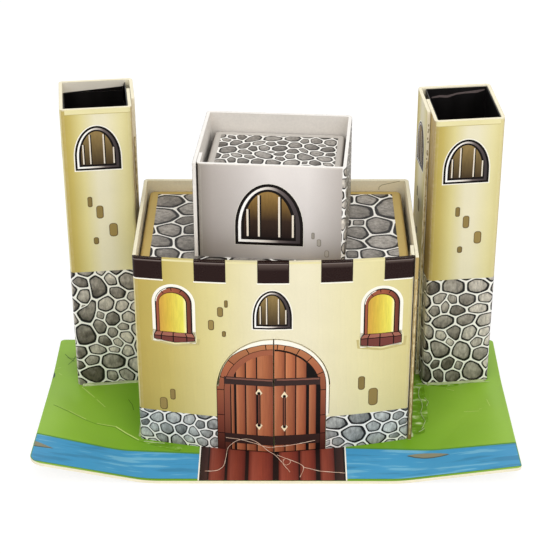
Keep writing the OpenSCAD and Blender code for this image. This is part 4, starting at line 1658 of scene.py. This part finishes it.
class CASTLE_OT_ground(bpy.types.Operator):
    """Print the grass and the moat on the base board"""

    bl_idname = "castle.ground"
    bl_label = "Ground"

    FRONT = 2.2
    LEFT_SHORE = ((-149, -46.6), (-53, -53.5))
    RIGHT_SHORE = ((43.7, -47.7), (148.5, -52.5))
    LEFT_R, CORNER_R = 8.0, 3.0
    CREASE = ((-143.4, -4.0), (-133.3, -9.5), (-121.6, -17.2), (-114.5, -20.7), (-102.1, -23.8),
              (-94.8, -31.2), (-86.2, -38.7))
    SCRATCHES = (
        ((-128.4, 22.1), (-118.8, 9.5)), ((-117.2, 7.1), (-110.9, -1.5)), ((-148.4, 43.4), (-145.1, 45.9)),
        ((-145.7, 38.8), (-143.3, 36.2)), ((121.1, -6.7), (130.9, -7.1)), ((137.2, 6.7), (138.3, -2.2)),
        ((112, 20), (117, 18)), ((131, -4.8), (132.8, -4.3)),
    )
    STRANDS = (
        ((-144.2, 62.6), (-140.4, 57), (-136.7, 53.3)), ((-140.5, 49.4), (-137.6, 55), (-136.7, 60)),
        ((-142, 58), (-137, 57)), ((-96.5, 7.1), (-93.5, 1), (-92.1, -5.1)),
    )
    TOWER_SMEAR = ((91, 26.5), (103, 23.5), (113, 22.5), (123, 25), (141, 32), (140, 35.5), (113, 28.5),
                   (92, 31))
    HALL_SMEAR = ((-86, -40), (-73, -46), (-60, -51), (-58, -47), (-72, -41.5), (-84, -38.3))

    def outline(self, inset=0.0):
        corners = (
            (BASE_HIGH.x, BASE_HIGH.y, self.CORNER_R, 0), (BASE_LOW.x, BASE_HIGH.y, self.CORNER_R, 90),
            (BASE_LOW.x, BASE_LOW.y, self.LEFT_R, 180), (BASE_HIGH.x, BASE_LOW.y, self.CORNER_R, 270),
        )
        points = []
        for x, y, r, start in corners:
            cx, cy = x - math.copysign(r, x), y - math.copysign(r, y)
            points += ring_arc(cx, cy, r - inset, start, start + 90, 8)
        return points

    def execute(self, context):
        ground, drawing = SHEETS["ground"], Drawing()
        drawing.patch(self.outline(), "grass", 0)
        drawing.finish("grass_print", ground, "base_print")
        for side, (start, end) in (("left", self.LEFT_SHORE), ("right", self.RIGHT_SHORE)):
            along = Vector(end) - Vector(start)
            for layer, name in enumerate(("shore", "water"), 1):
                sheet = Drawing()
                sheet.patch(self.outline(0.5 if layer == 2 else 0.1), name, layer)
                back = (start[0], start[1] + 1.6 * (2 - layer))
                front = (0, BASE_LOW.y + self.FRONT - 0.5 * (2 - layer))
                middle = (1 if side == "left" else -1, 0)
                for point, normal in ((back, (-along.y, along.x)), (front, (0, -1)), ((0, 0), middle)):
                    cut(sheet.bm, sheet.bm.faces[:], point, normal, clear_outer=True)
                sheet.finish(name + "_" + side, ground, "base_print")
        marks = Drawing()
        self.add_stones(marks)
        self.add_scratches(marks)
        self.add_smears(marks)
        marks.finish("moat_stones", ground, "base_print")
        return {"FINISHED"}

    def add_stones(self, drawing):
        for scale, ink_name, layer, drop in ((1.0, "moat shade", 3, -0.7), (0.94, "moat stone", 4, 0.0)):
            top = [(t, 2.8) for t in (1, 0.6, 0.2, -0.2, -0.6, -1)]
            low = [(t, -2.6) for t in (-0.6, -0.2, 0.2, 0.6)]
            outline = [
                (94.4 + 13.4 * scale * t, -55.8 + drop - 0.6 * t + bulge * scale * (1 - t * t))
                for t, bulge in top + low
            ]
            drawing.patch(outline, ink_name, layer)
        left = BASE_LOW.x + 0.6
        drawing.patch([(left, -62.5), (left + 12.5, -61.6), (left, -60.4)], "moat shade", 3)
        corner = [(left, -61.6), (left + 11.5, -61.3), (left + 4, -57.5), (left, -55.8)]
        drawing.patch(corner, "moat stone", 4)

    def add_scratches(self, drawing):
        crease = self.CREASE
        drawing.stroke([(x - 0.3, y - 0.8) for x, y in crease], 0.6, "grass shade", 1)
        for part, width in ((crease[:2], 0.3), (crease[1:3], 0.7), (crease[3:5], 0.5), (crease[4:], 0.9)):
            drawing.stroke(part, width, "grass scratch", 2)
        for scratch in self.SCRATCHES:
            drawing.stroke(scratch, 0.4, "grass scratch", 2)
        for strand in self.STRANDS:
            drawing.stroke(strand, 0.35, "grass strand", 2)
        edge = BASE_LOW.x + 0.2
        notch = [(edge, 31), (edge + 1.1, 33.5), (edge + 0.9, 37.5), (edge, 39.5)]
        drawing.patch(notch, "moat shade", 2)

    def add_smears(self, drawing):
        """Thin glossy glue beside the hall, before the right tower and at the hall's front left."""
        smear = "glue smear"
        for x, y, width, height, layer in ((91.5, 4, 12, 50, 1), (90, -27, 9, 10, 2)):
            drawing.patch(rounded(x, y, width, height, 0.45 * min(width, height), 6), smear, layer)
        drawing.patch(self.TOWER_SMEAR, smear, 2)
        drawing.patch(self.HALL_SMEAR, smear, 3)


class CASTLE_OT_drawbridge(bpy.types.Operator):
    """Print the planks of the drawbridge before the gate"""

    bl_idname = "castle.drawbridge"
    bl_label = "Drawbridge"

    LEFT, RIGHT, HALO, STEPS = -46.6, 42.8, 0.8, 12
    RAILS = ((LEFT + 0.6, -41.7), (36.9, 41.6))
    PLANKS = ((-40.9, -31.1), (-29.6, -18.7), (-16.6, -1.7), (1.9, 14.1), (15.0, 24.7), (27.4, 36.2))

    def execute(self, context):
        ground, drawing = SHEETS["ground"], Drawing()
        front = BASE_LOW.y + 0.15
        strips = [
            (self.LEFT - self.HALO, self.LEFT, "pale halo", 3),
            (self.RIGHT, self.RIGHT + self.HALO, "pale halo", 3),
            (self.LEFT, self.RIGHT, "bridge gap and slit shade", 3),
            *((a, b, "bridge rail", 4) for a, b in self.RAILS),
            *((a, b, "bridge plank", 5) for a, b in self.PLANKS),
        ]
        for k, (a, b, name, layer) in enumerate(strips):
            stops = [a + (b - a) * i / self.STEPS for i in range(self.STEPS + 1)]
            feet = [(x, HALL_FRONT - HallSleeve.foot_out((x - GATE_X) / FRONT_HALF) - 0.1) for x in stops]
            near = [(x, front) for x in stops]
            box = (a, front, b, HALL_FRONT)
            drawing.band(near, feet, name, layer, box=box, shade=(k * 5 % 6) / 5)
        toe = HALL_FRONT - FOOT_BOW
        # Painted shade inside the foot of the gate's slit, where it meets the ground
        drawing.rect(GATE_X - 0.33, toe - 0.6, GATE_X + 0.33, toe + 4, "bridge gap and slit shade", 3)
        drawing.finish("drawbridge_print", ground, "base_print")
        return {"FINISHED"}


def thread_tree():
    """Geometry nodes: a round wobbly thread along the edges of a mesh."""
    sockets = [(name, "Float") for name in ("Radius", "Wobble", "Step")]
    t, given = geometry_tree("Glue Threads", (("Geometry", "Geometry"), *sockets, ("Ink", "Material")))
    curve = t.add("GeometryNodeMeshToCurve", {"Mesh": given["Geometry"]})
    bent = t.add("GeometryNodeCurveSplineType", {"Curve": curve.outputs[0]}, spline_type="CATMULL_ROM")
    steps = {"Curve": bent.outputs[0], "Length": given["Step"]}
    even = t.add("GeometryNodeResampleCurve", steps, mode="LENGTH")
    noise = t.add("ShaderNodeTexNoise", {"Scale": 160.0, "Detail": 1.0}).outputs["Color"]
    wobble = t.dim(t.vector("SUBTRACT", noise, (0.5, 0.5, 0.3)), given["Wobble"])
    moved = t.add("GeometryNodeSetPosition", {"Geometry": even.outputs[0], "Offset": wobble})
    thick = t.add("ShaderNodeTexNoise", {"Scale": 330.0, "Detail": 1.0}).outputs["Fac"]
    profile = t.add("GeometryNodeCurvePrimitiveCircle", {"Resolution": 8, "Radius": 1.0})
    tube = t.add("GeometryNodeCurveToMesh", {
        "Curve": moved.outputs[0],
        "Profile Curve": profile.outputs[0],
        "Scale": t.math("MULTIPLY", given["Radius"], t.fit(thick, 1.2, 0.4)),
        "Fill Caps": True,
    })
    end_tree(t, t.add("GeometryNodeSetShadeSmooth", {"Geometry": tube.outputs[0]}), given["Ink"])


def lump_tree():
    """Geometry nodes: a smooth, lumpy bead from a plain one."""
    sockets = (("Geometry", "Geometry"), ("Lump", "Float"), ("Ink", "Material"))
    t, given = geometry_tree("Glue Lumps", sockets)
    welded = t.add("GeometryNodeMergeByDistance", {"Geometry": given["Geometry"], "Distance": 1e-6})
    fine = t.add("GeometryNodeSubdivideMesh", {"Mesh": welded.outputs[0], "Level": 3})
    noise = t.add("ShaderNodeTexNoise", {"Scale": 420.0, "Detail": 2.0}).outputs["Fac"]
    push = t.math("MULTIPLY", t.math("SUBTRACT", noise, 0.45), given["Lump"])
    offset = t.dim(t.add("GeometryNodeInputNormal").outputs[0], push)
    moved = t.add("GeometryNodeSetPosition", {"Geometry": fine.outputs[0], "Offset": offset})
    end_tree(t, t.add("GeometryNodeSetShadeSmooth", {"Geometry": moved.outputs[0]}), given["Ink"])


class CASTLE_OT_glue(bpy.types.Operator):
    """Lay the hot glue: beads at the feet and loose threads"""

    bl_idname = "castle.glue"
    bl_label = "Glue"

    GATE_THREAD_FRONT = ((-43.2, -72.3), (-38.9, -72.3), (-34.7, -70.8), (-31.8, -66.1), (-30.8, -57.7))
    GATE_THREAD_LEAF = ((-28.7, 1.5), (-26.1, 5.0), (-23.0, 7.5), (-19.2, 9.0), (-14.9, 9.4), (-11.1, 7.9),
                        (-7.4, 5.2), (-3.7, 1.9))
    GATE_THREAD_END = ((-0.5, -55.5), (2.6, -60.8), (5.7, -67.1), (8.8, -73.3))
    LEAF_THREAD = ((-29.8, 9.0), (-21.1, 8.5), (-11.8, 6.4), (-3.7, 4.1), (3.8, 4.8), (13.1, 5.5),
                   (25.5, 7.4))
    BRIDGE_THREADS = (
        ((0.8, -55.5), (5.7, -58.7), (10.0, -61.3), (15.0, -65.0), (17.1, -68.1), (16.7, -72.2),
         (14.9, -78.4)),
        ((4.5, -60.8), (6.3, -59.2), (8.8, -60.8), (8.8, -63.9), (6.3, -66.0), (4.5, -63.4), (5.2, -60.6)),
        ((16.8, -68.1), (21.7, -70.1), (27.1, -72.2), (34.5, -73.2), (42.4, -74.2)),
    )
    GRASS_STRINGS = (
        ((94.6, 22.0), (93.2, 12.0), (94.8, 1.0), (93.4, -9.0), (95.2, -18.0), (92.6, -26.0)),
        ((97.0, 9.0), (98.9, 4.4), (97.6, -1.0)), ((90.6, -29.8), (94.3, -25.6)),
        ((-83.0, -40.2), (-79.1, -41.0), (-74.0, -42.4), (-69.6, -42.6)),
        ((92.5, 25.6), (101.7, 24.6), (112.0, 24.8), (122.0, 26.6), (131.0, 27.8), (141.0, 28.2)),
    )
    # Lift of the threads off the ground and the gate, and the first height and the step of the seams' glue
    THREAD_LIFT, LEAF_LIFT, STRING_LIFT = 0.6, 1.0, 0.2
    SEAM_FOOT, SEAM_STEP = 4, 14
    # Radius and wobble of each kind of thread, the step along it and the lumps of the beads
    FINE, STRING, SEAM = (0.17, 0.4), (0.2, 1.4), (0.5, 1.1)
    STEP, LUMP = 0.8, 0.9

    def execute(self, context):
        thread_tree()
        lump_tree()
        glue_material(
            "hot glue", 300, 0.12, lambda t, cloud: t.dim(mixed("glue"), t.fit(cloud, 0.3, 0.85)), 0.2
        )
        for name, (scale, gloss, stops) in GLUE_THREADS.items():
            glue_material(name, scale, gloss, lambda t, cloud: t.ramp(cloud, *mixed_stops(stops)))
        self.add_beads()
        ground, hall = SHEETS["ground"], SHEETS["hall"]
        lift = self.THREAD_LIFT
        fine = [
            [ground.place(x, y, lift) for x, y in self.GATE_THREAD_FRONT]
            + [hall.place(hall.origin + u, z, self.LEAF_LIFT) for u, z in self.GATE_THREAD_LEAF]
            + [ground.place(x, y, lift) for x, y in self.GATE_THREAD_END],
            [hall.place(hall.origin + u, z, lift) for u, z in self.LEAF_THREAD],
        ]
        fine += [[ground.place(x, y, lift) for x, y in path] for path in self.BRIDGE_THREADS]
        self.add_threads("gate_threads", fine, *self.FINE, "glue thread")
        thick = [[ground.place(x, y, self.STRING_LIFT) for x, y in path] for path in self.GRASS_STRINGS]
        self.add_threads("glue_strings", thick, *self.STRING, "hot glue")
        seams = (
            (right_place(0.9, LAP_BACK - 0.35), 172),
            (left_place(0.9, LAP_BACK - 0.35), 186),
            (Vector((HALL_HIGH.x - 1.0, HALL_FRONT - 0.3)), 126),
        )
        upright = [
            [Vector((at.x, at.y, BASE_T + z)) * MM for z in range(self.SEAM_FOOT, top, self.SEAM_STEP)]
            for at, top in seams
        ]
        self.add_threads("seam_glue", upright, *self.SEAM, "seam glue")
        return {"FINISHED"}

    def add_beads(self):
        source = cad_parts["glue_beads"]
        values = {"Lump": self.LUMP * MM, "Ink": material("hot glue")}
        mesh = grown(bpy.data.node_groups["Glue Lumps"], values, source.data.copy())
        piece = add_piece("glue_lumps", mesh, "glue")
        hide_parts("glue_beads")

    def add_threads(self, name, paths, radius, wobble, ink_name):
        points, edges = [], []
        for path in paths:
            edges += [(len(points) + i, len(points) + i + 1) for i in range(len(path) - 1)]
            points += path
        mesh = bpy.data.meshes.new(name)
        mesh.from_pydata(points, edges, [])
        values = {"Radius": radius * MM, "Wobble": wobble * MM, "Step": self.STEP * MM}
        values["Ink"] = material(ink_name)
        add_piece(name, grown(bpy.data.node_groups["Glue Threads"], values, mesh), "glue")


class CASTLE_OT_stage(bpy.types.Operator):
    """Set up the floor, the studio light and the camera"""

    bl_idname = "castle.stage"
    bl_label = "Stage"

    LENS, SENSOR, FAR = 110.36, 36, 20
    EYE = (6.0, -917.2, 618.8)
    PITCH, ROLL, YAW = 29.58, 0.135, -0.33
    FLOOR_REACH, FLOOR_HEIGHT = 6, -2e-5
    FLOOR_COLOUR = (0.86, 0.86, 0.86)
    # Strength and share of the floor's glow, and the world's strength and what seen rays add to it
    FLOOR_GLOW, FLOOR_SHARE = 1.12, 0.72
    WORLD, WORLD_SEEN = 0.78, 0.22
    AIM = (0, 0, 0.08)
    LAMPS = (
        ("key", (-0.7, -1.3, 1.3), 1.3, 6),
        ("fill", (1.1, -1.2, 1.0), 1.4, 6),
        ("top", (0.1, -0.3, 1.6), 1.2, 5.5),
    )

    def execute(self, context):
        scene = context.scene
        scene.view_settings.view_transform = "Standard"
        camera = bpy.data.cameras.new("camera")
        camera.lens, camera.sensor_width, camera.clip_end = self.LENS, self.SENSOR, self.FAR
        eye = bpy.data.objects.new("camera", camera)
        turn = (
            Matrix.Rotation(math.radians(-self.YAW), 4, "Z")
            @ Matrix.Rotation(math.radians(90 - self.PITCH), 4, "X")
            @ Matrix.Rotation(math.radians(-self.ROLL), 4, "Z")
        )
        eye.matrix_world = Matrix.Translation(Vector(self.EYE) * MM) @ turn
        scene.collection.objects.link(eye)
        scene.camera = eye
        self.add_floor(scene)
        self.add_light(scene)
        return {"FINISHED"}

    def add_floor(self, scene):
        mesh = bpy.data.meshes.new("floor")
        reach, height = self.FLOOR_REACH, self.FLOOR_HEIGHT
        corners = [(x * reach, y * reach, height) for x, y in ((-1, -1), (1, -1), (1, 1), (-1, 1))]
        mesh.from_pydata(corners, [], [(0, 1, 2, 3)])
        floor = bpy.data.objects.new("floor", mesh)
        scene.collection.objects.link(floor)
        made, t, shader = new_material("white floor")
        t.feed(shader, {"Base Color": rgba(self.FLOOR_COLOUR), "Roughness": 0.9})
        glow = t.add("ShaderNodeEmission", {"Strength": self.FLOOR_GLOW})
        share = t.math("MULTIPLY", t.seen(), self.FLOOR_SHARE)
        surface = t.add("ShaderNodeMixShader", {0: share, 1: shader.outputs[0], 2: glow.outputs[0]})
        t.feed(made.node_tree.nodes["Material Output"], {"Surface": surface.outputs[0]})
        mesh.materials.append(made)
        floor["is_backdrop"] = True

    def add_light(self, scene):
        world = bpy.data.worlds.new("studio")
        scene.world = world
        world.use_nodes = True
        t = Tree(world.node_tree)
        strength = t.fit(t.seen(), self.WORLD_SEEN, self.WORLD)
        t.feed(world.node_tree.nodes["Background"], {"Color": rgba(WHITE), "Strength": strength})
        for name, spot, size, power in self.LAMPS:
            lamp = bpy.data.lights.new(name, "AREA")
            lamp.size, lamp.energy = size, power
            holder = bpy.data.objects.new(name, lamp)
            holder.location = spot
            holder.rotation_euler = (Vector(self.AIM) - Vector(spot)).to_track_quat("-Z", "Y").to_euler()
            scene.collection.objects.link(holder)


CLASSES = (
    CastleInks, CastleSizes, CASTLE_OT_inks, CASTLE_OT_wall_paper, CASTLE_OT_cobbles, CASTLE_OT_crenels,
    CASTLE_OT_windows, CASTLE_OT_brick_marks, CASTLE_OT_gate, CASTLE_OT_creases, CASTLE_OT_ground,
    CASTLE_OT_drawbridge, CASTLE_OT_glue, CASTLE_OT_stage,
)


class CASTLE_PT_panel(bpy.types.Panel):
    """Sizes and inks of the castle, and the steps that make its pieces"""

    bl_label = "Cardboard Castle"
    bl_idname = "CASTLE_PT_panel"
    bl_space_type = "VIEW_3D"
    bl_region_type = "UI"
    bl_category = "Castle"

    def draw(self, context):
        for group in (context.scene.castle_sizes, context.scene.castle_inks):
            column = self.layout.column()
            for name in group.bl_rna.properties.keys():
                if name not in ("rna_type", "name"):
                    column.prop(group, name)
        for kind in CLASSES:
            if issubclass(kind, bpy.types.Operator):
                self.layout.operator(kind.bl_idname)


def register():
    for kind in (*CLASSES, CASTLE_PT_panel):
        bpy.utils.register_class(kind)
    bpy.types.Scene.castle_inks = bpy.props.PointerProperty(type=CastleInks)
    bpy.types.Scene.castle_sizes = bpy.props.PointerProperty(type=CastleSizes)


def unregister():
    del bpy.types.Scene.castle_sizes
    del bpy.types.Scene.castle_inks
    for kind in reversed((*CLASSES, CASTLE_PT_panel)):
        bpy.utils.unregister_class(kind)


def main():
    register()
    bpy.ops.castle.inks()
    bpy.ops.castle.wall_paper()
    bpy.ops.castle.cobbles()
    bpy.ops.castle.crenels()
    bpy.ops.castle.windows()
    bpy.ops.castle.brick_marks()
    bpy.ops.castle.gate()
    bpy.ops.castle.creases()
    bpy.ops.castle.ground()
    bpy.ops.castle.drawbridge()
    bpy.ops.castle.glue()
    bpy.ops.castle.stage()
    found = {"cad": CAD_BOX, "visual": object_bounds()}
    {name: [list(low), list(high)] for name, (low, high) in found.items()}


if __name__ == "__main__":
    main()
